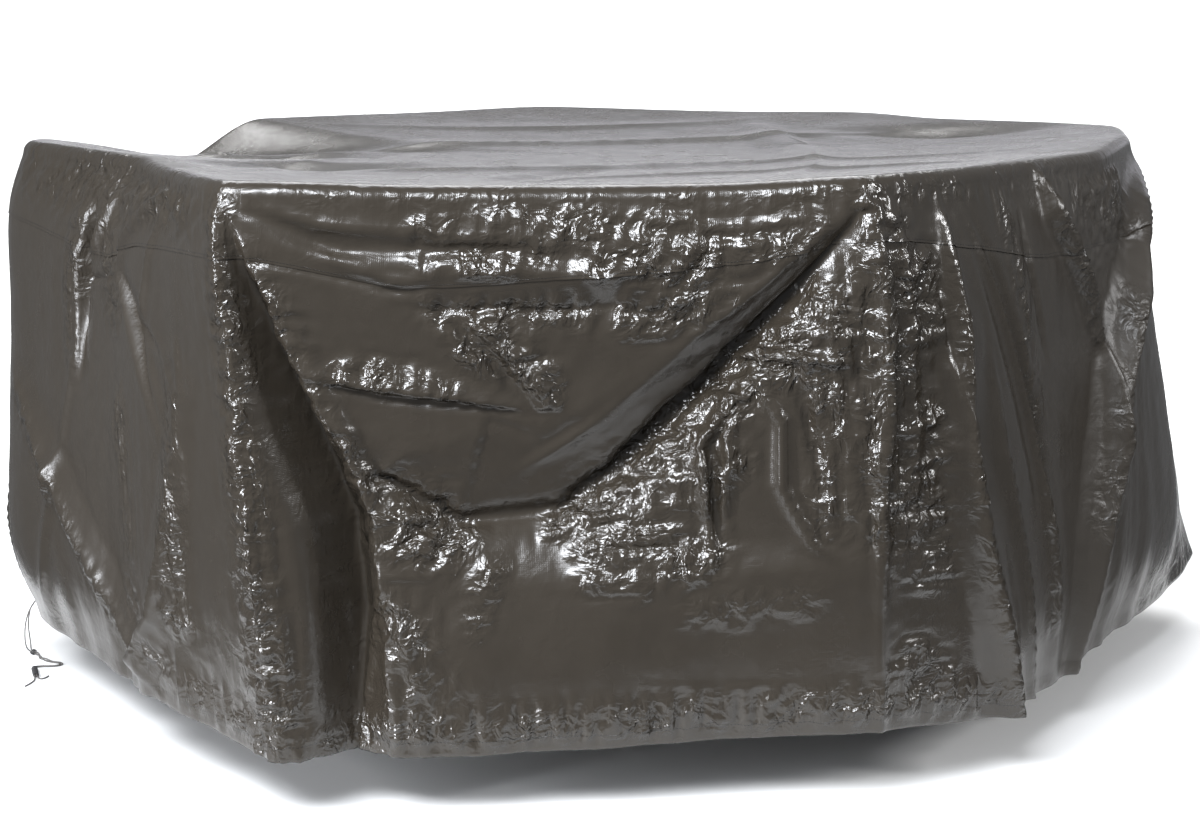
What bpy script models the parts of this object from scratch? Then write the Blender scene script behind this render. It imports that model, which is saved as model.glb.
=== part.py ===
"""Patio furniture cover: a round, fitted cover of laminated woven sheet, modelled as it hangs.

The cover is two cut pieces, a round top panel and a deep skirt, sewn together a hand's width below the rim.
A drawcord runs in the hem and its two ends hang out at the left. What is under the cover pushes the sheet out
at posts round the rim, and the sheet is drawn straight or swags in between two posts.

Azimuths are in degrees round the plan, 0 at the front (-Y) and 90 at the right (+X). Heights in the tables are
above the floor; the origin is under the middle of the top, so CROWN is taken off every height in the end.
"""

import math

import bmesh
import bpy
import numpy as np
from mathutils import Vector

# ---- driving dimensions, in metres
SHEET = 0.002             # thickness of the sheet, with its small crumples
CROWN = 0.903             # height of the underside of the top at its middle
SHOULDER = 0.020          # radius where the top turns down into the side
POST_BEND = 3.6           # degrees on each side over which the cloth bends round a post
SEAM_GAP = 0.0008         # between the top panel's edge and the skirt's
SEAM_EDGE = 0.004         # depth of the strip that each of them keeps straight along the seam
HEM_BAND = 0.025          # depth of the folded hem
HEM_SWELL = 0.002         # how far the hem stands out with the cord in it
CORD = 0.0025             # diameter of the drawcord
CORD_EXIT = -86.5         # azimuth of the rim above the place where its ends leave the hem
CORD_EXITS_APART = 0.006
CORD_GAP = 0.0006         # between the hem's edge and the end of a cord
ARC_PER_DEGREE = 0.0166   # metres round the side for one degree of azimuth
DROP = 0.83               # metres down the side from rim to hem

# ---- the draped outline: one row for each post, bay or corner, going round from the front
# azimuths at the rim and at the hem; radius at the rim, the seam, three levels down and the hem;
# heights of the rim and the hem; the seam's level as a share of the drop
STATION_COLUMNS = (
    "az_rim", "az_hem", "rim", "seam", "upper", "middle", "lower", "hem", "rim_z", "hem_z", "seam_at"
)
STATIONS = (
    ("front_left_post",      -28, -27.5, 1.117, 1.117, 1.087, 1.067, 1.042, 1.024, 0.940, 0.105, 0.105),
    ("front_left_bay",       -15,   -15, 0.985, 0.985, 0.960, 0.955, 0.960, 0.945, 0.932, 0.108, 0.150),
    ("front_bay",             -2,    -2, 0.930, 0.935, 0.905, 0.890, 0.910, 0.890, 0.930, 0.112, 0.132),
    ("front_right_bay",       11,    12, 0.935, 0.940, 0.915, 0.905, 0.900, 0.875, 0.932, 0.118, 0.115),
    ("front_right_post",      22,    26, 0.993, 0.998, 0.988, 0.978, 0.963, 0.943, 0.942, 0.125, 0.090),
    ("right_near_post",       36,    41, 0.915, 0.930, 0.945, 0.950, 0.950, 0.940, 0.940, 0.108, 0.120),
    ("right_near_gap",        50,    56, 0.870, 0.890, 0.900, 0.905, 0.905, 0.885, 0.938, 0.100, 0.155),
    ("right_bay",             68,    72, 0.880, 0.900, 0.920, 0.930, 0.930, 0.895, 0.935, 0.100, 0.150),
    ("right_post",            90,    90, 0.932, 0.952, 0.980, 1.018, 1.045, 1.018, 0.940, 0.110, 0.120),
    ("right_corner",         103,   103, 0.991, 0.996, 1.021, 1.066, 1.121, 1.182, 0.943, 0.135, 0.110),
    ("right_back",           112,   112, 0.985, 0.990, 1.005, 1.025, 1.060, 1.085, 0.940, 0.130, 0.110),
    ("back_right_bay",       128,   126, 0.855, 0.880, 0.900, 0.915, 0.930, 0.940, 0.940, 0.115, 0.120),
    ("back_right_post",      142,   142, 0.901, 0.921, 0.946, 0.966, 0.981, 0.976, 0.942, 0.100, 0.110),
    ("back_bay",             164,   164, 0.875, 0.890, 0.890, 0.900, 0.915, 0.910, 0.938, 0.110, 0.120),
    ("back_post",            188,   188, 0.958, 0.973, 0.988, 0.998, 1.003, 0.998, 0.942, 0.100, 0.110),
    ("back_left_bay",        206,   206, 0.875, 0.890, 0.890, 0.900, 0.915, 0.915, 0.938, 0.115, 0.120),
    ("back_left_flat",       221,   220, 0.835, 0.870, 0.900, 0.930, 0.950, 0.950, 0.940, 0.110, 0.115),
    ("back_left_post",       232,   230, 0.862, 0.900, 0.940, 0.960, 0.975, 0.970, 0.940, 0.105, 0.110),
    ("left_far_gap",         249,   247, 0.890, 0.900, 0.910, 0.935, 0.970, 0.985, 0.862, 0.130, 0.060),
    ("left_far_corner",      266,   262, 0.968, 0.990, 1.025, 1.045, 1.062, 1.072, 0.925, 0.150, 0.110),
    ("left_post",            280,   279, 0.995, 1.022, 1.024, 1.034, 1.039, 0.989, 0.942, 0.110, 0.125),
    ("left_near_gap",        304,   303, 0.868, 0.915, 0.930, 0.935, 0.925, 0.905, 0.938, 0.102, 0.160),
    ("left_near_post",       316,   315, 0.945, 0.975, 0.985, 0.980, 0.970, 0.955, 0.938, 0.118, 0.120),
)
LEVELS = (("rim", 0.0), ("seam", 0.115), ("upper", 0.33), ("middle", 0.58), ("lower", 0.82), ("hem", 1.0))

# ---- folds of the side: a row for each point along a fold, rows of one name in a line
# azimuth at the rim; share of the drop; width of the fold on its left and its right, seen along its line from
# outside; how far the cloth stands out (or in, below 0); 1 for a sharp crease, 0 for a soft one
SIDE_FOLDS = (
    ("left_post_edge",    -28.2, -0.02, 0.030, 0.022,  0.000, 1),
    ("left_post_edge",    -28.2,  0.08, 0.040, 0.024,  0.010, 1),
    ("left_post_edge",    -28.0,  0.57, 0.050, 0.030,  0.014, 1),
    ("left_post_edge",    -27.5,  1.00, 0.060, 0.040,  0.008, 1),
    ("wedge",             -27.2,  0.03, 0.015, 0.020,  0.000, 0),
    ("wedge",             -25.8,  0.16, 0.036, 0.034, -0.022, 0),
    ("wedge",             -24.6,  0.30, 0.046, 0.042, -0.034, 0),
    ("wedge",             -23.4,  0.50, 0.056, 0.050, -0.042, 0),
    ("wedge",             -22.8,  0.72, 0.062, 0.055, -0.038, 0),
    ("wedge",             -23.0,  1.00, 0.060, 0.050, -0.022, 0),
    ("wedge_lip",         -25.4,  0.14, 0.018, 0.050,  0.000, 1),
    ("wedge_lip",         -22.6,  0.34, 0.022, 0.060,  0.012, 1),
    ("wedge_lip",         -20.6,  0.55, 0.028, 0.070,  0.018, 1),
    ("wedge_lip",         -19.2,  0.72, 0.030, 0.070,  0.016, 1),
    ("wedge_lip",         -20.6,  0.95, 0.040, 0.060,  0.006, 1),
    ("swag",               21.8,  0.02, 0.030, 0.020,  0.000, 1),
    ("swag",               16.2,  0.18, 0.055, 0.070, -0.022, 0),
    ("swag",                9.5,  0.34, 0.070, 0.110, -0.036, 0),
    ("swag",                1.6,  0.50, 0.080, 0.150, -0.046, 0),
    ("swag",               -3.8,  0.575, 0.075, 0.160, -0.046, 0),
    ("swag",              -12.6,  0.575, 0.070, 0.130, -0.034, 0),
    ("swag",              -18.6,  0.48, 0.050, 0.080, -0.016, 0),
    ("swag",              -22.5,  0.38, 0.020, 0.050,  0.000, 1),
    ("knee",               26.0,  0.66, 0.060, 0.050,  0.000, 0),
    ("knee",               16.0,  0.64, 0.090, 0.110,  0.022, 0),
    ("knee",                4.0,  0.64, 0.080, 0.110,  0.026, 0),
    ("knee",               -6.0,  0.68, 0.060, 0.090,  0.016, 0),
    ("knee",              -16.0,  0.66, 0.070, 0.080,  0.016, 0),
    ("knee",              -22.0,  0.70, 0.040, 0.050,  0.000, 0),
    ("lip",               -24.2,  0.30, 0.030, 0.030,  0.000, 1),
    ("lip",               -18.8,  0.33, 0.030, 0.060, -0.012, 1),
    ("lip",               -13.0,  0.345, 0.030, 0.070, -0.013, 1),
    ("lip",                -6.0,  0.37, 0.040, 0.050,  0.000, 1),
    ("facet_top",         -17.0,  0.125, 0.030, 0.030,  0.000, 0),
    ("facet_top",          -8.0,  0.125, 0.040, 0.045,  0.011, 0),
    ("facet_top",           4.0,  0.135, 0.040, 0.045,  0.010, 0),
    ("facet_top",          14.0,  0.080, 0.030, 0.040,  0.000, 0),
    ("facet_foot",        -17.0,  0.20, 0.030, 0.030,  0.000, 1),
    ("facet_foot",         -8.0,  0.195, 0.035, 0.050, -0.010, 1),
    ("facet_foot",          4.0,  0.20, 0.040, 0.050, -0.008, 1),
    ("facet_foot",         10.0,  0.24, 0.030, 0.040,  0.000, 1),
    ("fan",               -27.0,  0.01, 0.014, 0.014,  0.000, 0),
    ("fan",               -22.0,  0.075, 0.030, 0.024, -0.010, 0),
    ("fan",               -12.0,  0.085, 0.030, 0.024, -0.005, 0),
    ("fan",                 2.0,  0.11, 0.030, 0.024,  0.000, 0),
    ("right_post_edge",    22.2, -0.01, 0.026, 0.030,  0.000, 1),
    ("right_post_edge",    22.5,  0.12, 0.030, 0.034,  0.012, 1),
    ("right_post_edge",    23.0,  0.27, 0.036, 0.040,  0.016, 1),
    ("right_post_edge",    21.6,  0.55, 0.050, 0.060,  0.014, 1),
    ("right_post_edge",    22.0,  1.00, 0.060, 0.060,  0.006, 1),
    ("second_ridge",       30.5,  0.02, 0.030, 0.030,  0.000, 0),
    ("second_ridge",       32.0,  0.28, 0.060, 0.050,  0.012, 0),
    ("second_ridge",       30.8,  0.47, 0.060, 0.060,  0.016, 0),
    ("second_ridge",       34.4,  0.80, 0.070, 0.060,  0.018, 0),
    ("second_ridge",       36.8,  1.00, 0.060, 0.060,  0.012, 0),
    ("long_fold",          33.6,  0.02, 0.020, 0.020,  0.000, 0),
    ("long_fold",          38.0,  0.20, 0.035, 0.040, -0.012, 0),
    ("long_fold",          42.8,  0.45, 0.045, 0.050, -0.014, 0),
    ("long_fold",          46.0,  0.66, 0.040, 0.040,  0.000, 0),
    ("third_ridge",        49.5, -0.02, 0.030, 0.030,  0.000, 0),
    ("third_ridge",        50.6,  0.07, 0.040, 0.040,  0.010, 0),
    ("third_ridge",        56.0,  0.21, 0.040, 0.040,  0.008, 0),
    ("third_ridge",        60.0,  0.40, 0.030, 0.030,  0.000, 0),
    ("long_ridge",         92.0,  0.02, 0.040, 0.040,  0.000, 0),
    ("long_ridge",         78.0,  0.12, 0.070, 0.060,  0.018, 0),
    ("long_ridge",         68.0,  0.27, 0.080, 0.070,  0.026, 0),
    ("long_ridge",         62.0,  0.42, 0.080, 0.070,  0.026, 0),
    ("long_ridge",         57.5,  0.70, 0.080, 0.080,  0.020, 0),
    ("long_ridge",         54.0,  1.00, 0.070, 0.070,  0.012, 0),
    ("left_pleat",        -60.6,  0.06, 0.020, 0.020,  0.000, 0),
    ("left_pleat",        -61.6,  0.15, 0.050, 0.040, -0.030, 0),
    ("left_pleat",        -62.2,  0.25, 0.050, 0.040, -0.026, 0),
    ("left_pleat",        -62.0,  0.45, 0.040, 0.040,  0.000, 0),
    ("left_dent",         -49.8,  0.17, 0.030, 0.030,  0.000, 0),
    ("left_dent",         -45.0,  0.24, 0.040, 0.040, -0.012, 0),
    ("left_dent",         -40.5,  0.34, 0.040, 0.040, -0.008, 0),
    ("left_dent",         -38.0,  0.48, 0.030, 0.030,  0.000, 0),
    ("left_long_ridge",   -80.0,  0.42, 0.040, 0.040,  0.000, 0),
    ("left_long_ridge",   -70.2,  0.59, 0.060, 0.060,  0.014, 0),
    ("left_long_ridge",   -60.0,  0.76, 0.060, 0.060,  0.016, 0),
    ("left_long_ridge",   -48.0,  0.93, 0.050, 0.050,  0.010, 0),
    ("left_near_ridge",   -34.6,  0.30, 0.040, 0.040,  0.000, 0),
    ("left_near_ridge",   -38.0,  0.55, 0.050, 0.050,  0.010, 0),
    ("left_near_ridge",   -42.0,  0.78, 0.050, 0.060,  0.014, 0),
    ("left_near_ridge",   -48.5,  0.99, 0.050, 0.060,  0.010, 0),
    ("hem_pinch",         -86.0,  0.80, 0.050, 0.050,  0.000, 0),
    ("hem_pinch",         -87.0,  0.92, 0.050, 0.050, -0.014, 0),
    ("hem_pinch",         -87.5,  1.00, 0.050, 0.050, -0.018, 0),
    ("back_swag",         142.0,  0.04, 0.040, 0.040,  0.000, 0),
    ("back_swag",         155.0,  0.34, 0.080, 0.060, -0.026, 0),
    ("back_swag",         166.0,  0.50, 0.110, 0.060, -0.034, 0),
    ("back_swag",         178.0,  0.34, 0.080, 0.060, -0.022, 0),
    ("back_swag",         187.0,  0.06, 0.040, 0.040,  0.000, 0),
    ("back_fold",         190.0,  0.05, 0.040, 0.040,  0.000, 0),
    ("back_fold",         198.0,  0.40, 0.070, 0.070, -0.022, 0),
    ("back_fold",         209.0,  0.80, 0.080, 0.080, -0.024, 0),
    ("back_fold",         212.0,  1.00, 0.070, 0.070, -0.012, 0),
    ("back_ridge",        231.0,  0.03, 0.060, 0.060,  0.000, 0),
    ("back_ridge",        230.0,  0.40, 0.080, 0.080,  0.022, 0),
    ("back_ridge",        226.0,  1.00, 0.080, 0.080,  0.014, 0),
    ("back_right_fold",   112.0,  0.06, 0.050, 0.050,  0.000, 0),
    ("back_right_fold",   120.0,  0.40, 0.070, 0.070, -0.024, 0),
    ("back_right_fold",   124.0,  0.80, 0.080, 0.080, -0.020, 0),
    ("back_right_fold",   125.0,  1.00, 0.070, 0.070, -0.010, 0),
)

# ---- folds of the top, in plan: x, y, width on the left and right, rise, crease
TOP_FOLDS = (
    ("cross_crease",      0.30,  0.86, 0.050, 0.050,  0.000, 0),
    ("cross_crease",      0.33,  0.30, 0.060, 0.060,  0.006, 0),
    ("cross_crease",      0.40, -0.50, 0.060, 0.050,  0.000, 0),
    ("right_dip",         0.90,  0.30, 0.060, 0.060,  0.000, 0),
    ("right_dip",         0.66,  0.34, 0.130, 0.120, -0.016, 0),
    ("right_dip",         0.40,  0.42, 0.080, 0.080,  0.000, 0),
    ("left_dip",         -0.86,  0.26, 0.090, 0.090,  0.000, 0),
    ("left_dip",         -0.62,  0.10, 0.150, 0.130, -0.024, 0),
    ("left_dip",         -0.36,  0.00, 0.100, 0.100,  0.000, 0),
    ("front_left_dip",   -0.66, -0.56, 0.060, 0.060,  0.000, 0),
    ("front_left_dip",   -0.48, -0.44, 0.110, 0.110, -0.014, 0),
    ("front_left_dip",   -0.24, -0.26, 0.080, 0.080,  0.000, 0),
)

# ---- slack that the hem's cord gathers: how many waves round, their start in degrees, their depth at the hem
HEM_WAVES = ((23, 40, 0.0022), (37, 110, 0.0018), (61, 15, 0.0012))

# ---- the mesh: azimuth spans with the step of the columns in each, and the rows of each piece
COLUMN_SPANS = ((-104, 40, 2), (40, 112, 3), (112, 256, 4.5))
SKIRT_ROWS = (0.0, 0.08, 0.17, 0.26, 0.35, 0.44, 0.53, 0.62, 0.71, 0.80, 0.90, 1.0)
TOP_BAND_ROWS = (1.0, 0.4)
TOP_RINGS = (0.92,)
TOP_INNER_RINGS = ((0.78, 0.58), (0.38,), (0.18,))

# ---- the drawcord's two ends, side by side from under the hem to their tips: x, y and height above the floor
# midway between them; how far apart their centres are; the azimuth that a level line across them faces; and
# how far they are turned about each other from that line, in degrees
DRAWCORD = (
    (-1.0262, -0.0190, 0.0960, 0.0058,    0,   0),
    (-1.0325, -0.0178, 0.0830, 0.0056,    0,  25),
    (-1.0368, -0.0165, 0.0680, 0.0060,    0,  50),
    (-1.0390, -0.0150, 0.0520, 0.0070,    0,  75),
    (-1.0392, -0.0138, 0.0370, 0.0086,    0,  90),
    (-1.0388, -0.0118, 0.0230, 0.0092,    0,  90),
    (-1.0382, -0.0090, 0.0130, 0.0078,  -10,  90),
    (-1.0357, -0.0056, 0.0066, 0.0042,  -34,  90),
    (-1.0325, -0.0080, 0.0058, 0.0036,  -37,  90),
    (-1.0267, -0.0124, 0.0053, 0.0036,  -37,  90),
    (-1.0235, -0.0148, 0.0050, 0.0036,  -38, 100),
    (-1.0205, -0.0182, 0.0044, 0.0036,  -46, 140),
    (-1.0182, -0.0226, 0.0040, 0.0036,  -56, 185),
    (-1.0161, -0.0276, 0.0036, 0.0036,  -60, 230),
    (-1.0136, -0.0328, 0.0034, 0.0036,  -58, 280),
    (-1.0108, -0.0380, 0.0033, 0.0036,  -55, 330),
    (-1.0074, -0.0432, 0.0033, 0.0036,  -50, 380),
    (-1.0028, -0.0482, 0.0033, 0.0036,  -44, 430),
    (-0.9972, -0.0528, 0.0030, 0.0036,  -38, 480),
    (-0.9908, -0.0570, 0.0020, 0.0038,  -30, 525),
    (-0.9840, -0.0606, 0.0014, 0.0042,  -25, 540),
    (-0.9762, -0.0634, 0.0014, 0.0042,  -22, 540),
    (-0.9690, -0.0676, 0.0014, 0.0042,  -45, 540),
    (-0.9655, -0.0745, 0.0014, 0.0042,  -85, 540),
    (-0.9682, -0.0820, 0.0014, 0.0042, -130, 540),
    (-0.9755, -0.0862, 0.0014, 0.0042, -165, 540),
    (-0.9850, -0.0876, 0.0014, 0.0042, -178, 540),
    (-0.9945, -0.0880, 0.0014, 0.0042, -176, 540),
    (-1.0022, -0.0905, 0.0018, 0.0042, -155, 540),
    (-1.0066, -0.0965, 0.0030, 0.0038, -115, 540),
    (-1.0072, -0.1045, 0.0046, 0.0036,  -80, 540),
    (-1.0048, -0.1130, 0.0053, 0.0036,  -73, 540),
    (-1.0004, -0.1277, 0.0053, 0.0036,  -73, 540),
    (-0.9960, -0.1425, 0.0053, 0.0036,  -73, 540),
    (-0.9916, -0.1572, 0.0053, 0.0036,  -73, 540),
    (-0.9904, -0.1611, 0.0050, 0.0037,  -73, 540),
    (-0.9889, -0.1653, 0.0034, 0.0059,  -65, 540),
    (-0.9860, -0.1713, 0.0016, 0.0131,  -43, 540),
    (-0.9843, -0.1758, 0.0014, 0.0279,  -33, 540),
    (-0.9840, -0.1783, 0.0014, 0.0474,  -26, 540),
    (-0.9847, -0.1803, 0.0014, 0.0678,  -23, 540),
)
CORD_STEP = 2.5           # distance between the points of a cord's tube, in diameters

# ---- the knots: the rows above where each starts and ends, and its turns of cord round the two ends
KNOTS = (("upper_knot", 8, 9, 2), ("wound_knot", 31, 34, 9))
KNOT_BORE = 0.0035        # radius of the space that a knot leaves for the two ends
KNOT_WALL = 0.0008        # its thinnest wall, between two turns
KNOT_TURN = 0.0008        # how far each turn stands out beyond that
KNOT_SIDES = 12

# ---- finishes: colour, roughness
FINISHES = {
    "sheet": ((0.066, 0.060, 0.052, 1.0), 0.38),
    "cord": ((0.120, 0.112, 0.105, 1.0), 0.70),
    "knot": ((0.030, 0.029, 0.030, 1.0), 0.65),
}

STATION = {
    column: np.array([row[1 + i] for row in STATIONS], float) for i, column in enumerate(STATION_COLUMNS)
}


# ---- curves through the tables' rows
def round_curve(azimuth, places, values):
    """A curve through the values at these azimuths that closes on itself and never overshoots a row."""
    order = np.argsort(places % 360)
    x, y = places[order] % 360, values[order]
    x = np.concatenate([x[-2:] - 360, x, x[:3] + 360])
    y = np.concatenate([y[-2:], y, y[:3]])
    width = np.diff(x)
    rise = np.diff(y) / width
    before, after = 2 * width[1:] + width[:-1], width[1:] + 2 * width[:-1]
    same_way = rise[:-1] * rise[1:] > 0
    safe = np.where(same_way, rise[:-1] * rise[1:], 1.0)
    slope = np.zeros(len(x))
    mean = (before + after) * safe / (before * rise[1:] + after * rise[:-1] + (~same_way))
    slope[1:-1] = np.where(same_way, mean, 0.0)
    at = azimuth % 360
    at = np.where(at < x[2], at + 360, at)
    i = np.clip(np.searchsorted(x, at, side="right") - 1, 0, len(x) - 2)
    return hermite((at - x[i]) / width[i], width[i], y[i], y[i + 1], slope[i], slope[i + 1])


def hermite(t, width, start, end, start_slope, end_slope):
    """The cubic with these ends and slopes, at the share t of its width."""
    return (
        (1 + 2 * t) * (1 - t) ** 2 * start
        + t * (1 - t) ** 2 * width * start_slope
        + t * t * (3 - 2 * t) * end
        + t * t * (t - 1) * width * end_slope
    )


def down_curve(share, places, values):
    """A smooth curve down the side through the radii at the levels; each value is an array of its own."""
    slopes = [(values[1] - values[0]) / (places[1] - places[0])]
    for k in range(1, len(places) - 1):
        slopes.append((values[k + 1] - values[k - 1]) / (places[k + 1] - places[k - 1]))
    slopes.append((values[-1] - values[-2]) / (places[-1] - places[-2]))
    result = np.zeros_like(share)
    for k in range(len(places) - 1):
        inside = (share >= places[k]) | (k == 0)
        width = places[k + 1] - places[k]
        piece = hermite((share - places[k]) / width, width, values[k], values[k + 1], slopes[k], slopes[k + 1])
        result = np.where(inside, piece, result)
    return result


def station_curve(column, azimuth):
    return round_curve(azimuth, STATION["az_rim"], STATION[column])


def chord_radius(column, azimuth):
    """The radius on the straight line, in plan, between the two stations on either side."""
    order = np.argsort(STATION["az_rim"] % 360)
    x, y = STATION["az_rim"][order] % 360, STATION[column][order]
    x, y = np.append(x, x[0] + 360), np.append(y, y[0])
    at = (azimuth - x[0]) % 360 + x[0]
    i = np.clip(np.searchsorted(x, at, side="right") - 1, 0, len(x) - 2)
    past, left = np.radians(at - x[i]), np.radians(x[i + 1] - at)
    return y[i] * y[i + 1] * np.sin(past + left) / (y[i] * np.sin(past) + y[i + 1] * np.sin(left))


def stretched_radius(column, azimuth):
    """The cloth drawn straight from post to post, and rounded over each of them."""
    steps = (-1.0, -0.5, 0.0, 0.5, 1.0)
    weights = (1, 4, 6, 4, 1)
    radii = [weight * chord_radius(column, azimuth + step * POST_BEND) for step, weight in zip(steps, weights)]
    return sum(radii) / sum(weights)


# ---- folds
def fold_lift(rows, across, down):
    """How far one fold lifts the cloth at these places; rows are (across, down, left, right, lift, crease)."""
    nearest = np.full(across.shape, np.inf)
    lift = np.zeros(across.shape)
    for start, end in zip(rows[:-1], rows[1:]):
        run = (end[0] - start[0], end[1] - start[1])
        off = (across - start[0], down - start[1])
        share = np.clip((off[0] * run[0] + off[1] * run[1]) / (run[0] ** 2 + run[1] ** 2), 0, 1)
        away = np.hypot(off[0] - share * run[0], off[1] - share * run[1])
        on_right = run[0] * off[1] - run[1] * off[0] > 0
        left, right, height, crease = (start[k] + share * (end[k] - start[k]) for k in (2, 3, 4, 5))
        x = np.clip(away / np.where(on_right, right, left), 0, 1)
        soft, sharp = (1 - x * x) ** 2, (1 - x) ** 1.7
        here = height * (soft + crease * (sharp - soft))
        lift = np.where(away < nearest, here, lift)
        nearest = np.minimum(nearest, away)
    return lift


def folds_of(table):
    """The table's rows by fold, in their order."""
    folds = {}
    for name, *row in table:
        folds.setdefault(name, []).append(row)
    return folds.values()


def side_lift(azimuth, share):
    """All the side's folds and the hem's gathers, at these azimuths of the rim and shares of the drop."""
    total = np.zeros(azimuth.shape)
    for fold in folds_of(SIDE_FOLDS):
        first = fold[0][0]
        turn = (azimuth - first + 180) % 360 - 180
        rows = [((row[0] - first) * ARC_PER_DEGREE, row[1] * DROP, *row[2:]) for row in fold]
        total += fold_lift(rows, turn * ARC_PER_DEGREE, share * DROP)
    for count, start, depth in HEM_WAVES:
        total += depth * share**2 * np.sin(np.radians(count * azimuth + start))
    band = np.clip((share - 1) * DROP / HEM_BAND + 1, 0, 1)
    return total + HEM_SWELL * np.sin(math.pi * band / 2)


# ---- the surface
def on_plan(azimuth, radius, height):
    """Points in the part's own frame."""
    turn = np.radians(azimuth)
    return np.stack([radius * np.sin(turn), -radius * np.cos(turn), height - CROWN], axis=-1)


def side_points(azimuth, share):
    """The outer face of the side: azimuth at the rim, and share of the drop from the rim to the hem."""
    azimuth, share = np.broadcast_arrays(np.asarray(azimuth, float), np.asarray(share, float))
    lean = (STATION["az_hem"] - STATION["az_rim"] + 180) % 360 - 180
    turned = azimuth + round_curve(azimuth, STATION["az_rim"], lean) * share
    radii = [stretched_radius(level, azimuth) for level, _ in LEVELS]
    radius = down_curve(share, [at for _, at in LEVELS], radii) + side_lift(azimuth, share)
    top, bottom = station_curve("rim_z", azimuth), station_curve("hem_z", azimuth)
    top = top - SHOULDER
    return on_plan(turned, radius, top + (bottom - top) * share)


def rim_radius(azimuth):
    return stretched_radius("rim", azimuth) + side_lift(azimuth, np.zeros(azimuth.shape))


def shoulder_points(azimuth, angle):
    """The rounded edge: 0 degrees at the side, 90 at the top."""
    bend = math.radians(angle)
    radius = rim_radius(azimuth) - SHOULDER * (1 - math.cos(bend))
    return on_plan(azimuth, radius, station_curve("rim_z", azimuth) - SHOULDER * (1 - math.sin(bend)))


def top_points(azimuth, share):
    """The outer face of the top, from its middle at share 0 to the shoulder at share 1."""
    radius = (rim_radius(azimuth) - SHOULDER) * share
    rise = (station_curve("rim_z", azimuth) - CROWN - SHEET) * share**2.6
    points = on_plan(azimuth, radius, CROWN + SHEET + rise)
    fade = min(1.0, 4 * (1 - share)) * min(1.0, 6 * share)
    for fold in folds_of(TOP_FOLDS):
        points[..., 2] += fade * fold_lift(fold, points[..., 0], points[..., 1])
    return points


# ---- meshes
def columns():
    """The azimuths of the mesh's columns, once round."""
    found = [np.arange(start, end, step, dtype=float) for start, end, step in COLUMN_SPANS]
    return np.concatenate(found)


def add_ring(mesh, points):
    return [mesh.verts.new(point) for point in points]


def join_rings(mesh, lower, upper):
    """Faces between two rings with as many points, facing out."""
    for i in range(len(lower)):
        k = (i + 1) % len(lower)
        mesh.faces.new((lower[i], lower[k], upper[k], upper[i]))


def join_to_half(mesh, lower, upper):
    """Faces between a ring and the next one in, which has half its points."""
    for i in range(len(upper)):
        a, b, c = lower[2 * i], lower[2 * i + 1], lower[(2 * i + 2) % len(lower)]
        near, far = upper[i], upper[(i + 1) % len(upper)]
        mesh.faces.new((a, b, near))
        mesh.faces.new((b, far, near))
        mesh.faces.new((b, c, far))


def finish_of(name):
    colour, roughness = FINISHES[name]
    material = bpy.data.materials.new(name)
    material.use_nodes = True
    shader = material.node_tree.nodes["Principled BSDF"]
    shader.inputs["Base Color"].default_value = colour
    shader.inputs["Roughness"].default_value = roughness
    return material


def add_sheet(name, mesh, collection, material):
    """The open surface as an object, made into a sheet that lies inside it."""
    data = bpy.data.meshes.new(name)
    mesh.to_mesh(data)
    mesh.free()
    data.shade_smooth()
    data.materials.append(material)
    sheet = bpy.data.objects.new(name, data)
    collection.objects.link(sheet)
    solidify = sheet.modifiers.new("thickness", "SOLIDIFY")
    solidify.thickness = SHEET
    solidify.offset = -1
    return sheet


def make_skirt(collection, material):
    mesh = bmesh.new()
    around = columns()
    edge = station_curve("seam_at", around) + SEAM_GAP / 2 / DROP
    first, last = edge + SEAM_EDGE / DROP, 1 - HEM_BAND / DROP
    shares = [edge] + [first + (last - first) * row for row in SKIRT_ROWS] + [np.ones_like(edge)]
    rings = [add_ring(mesh, side_points(around, share)) for share in shares]
    for upper, lower in zip(rings[:-1], rings[1:]):
        join_rings(mesh, lower, upper)
    return add_sheet("skirt", mesh, collection, material)


def make_top(collection, material):
    mesh = bmesh.new()
    around = columns()
    edge = station_curve("seam_at", around) - SEAM_GAP / 2 / DROP
    rings = [add_ring(mesh, side_points(around, edge))]
    edge = edge - SEAM_EDGE / DROP
    rings += [add_ring(mesh, side_points(around, edge * row)) for row in TOP_BAND_ROWS]
    rings += [add_ring(mesh, shoulder_points(around, angle)) for angle in (30, 75)]
    rings += [add_ring(mesh, top_points(around, ring)) for ring in TOP_RINGS]
    for lower, upper in zip(rings[:-1], rings[1:]):
        join_rings(mesh, lower, upper)
    outer = rings[-1]
    for group in TOP_INNER_RINGS:
        around = around[::2]
        inner = add_ring(mesh, top_points(around, group[0]))
        join_to_half(mesh, outer, inner)
        for ring in group[1:]:
            outer, inner = inner, add_ring(mesh, top_points(around, ring))
            join_rings(mesh, outer, inner)
        outer = inner
    middle = mesh.verts.new((0, 0, SHEET))
    for i in range(len(outer)):
        mesh.faces.new((outer[i], outer[(i + 1) % len(outer)], middle))
    return add_sheet("top_panel", mesh, collection, material)


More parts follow.
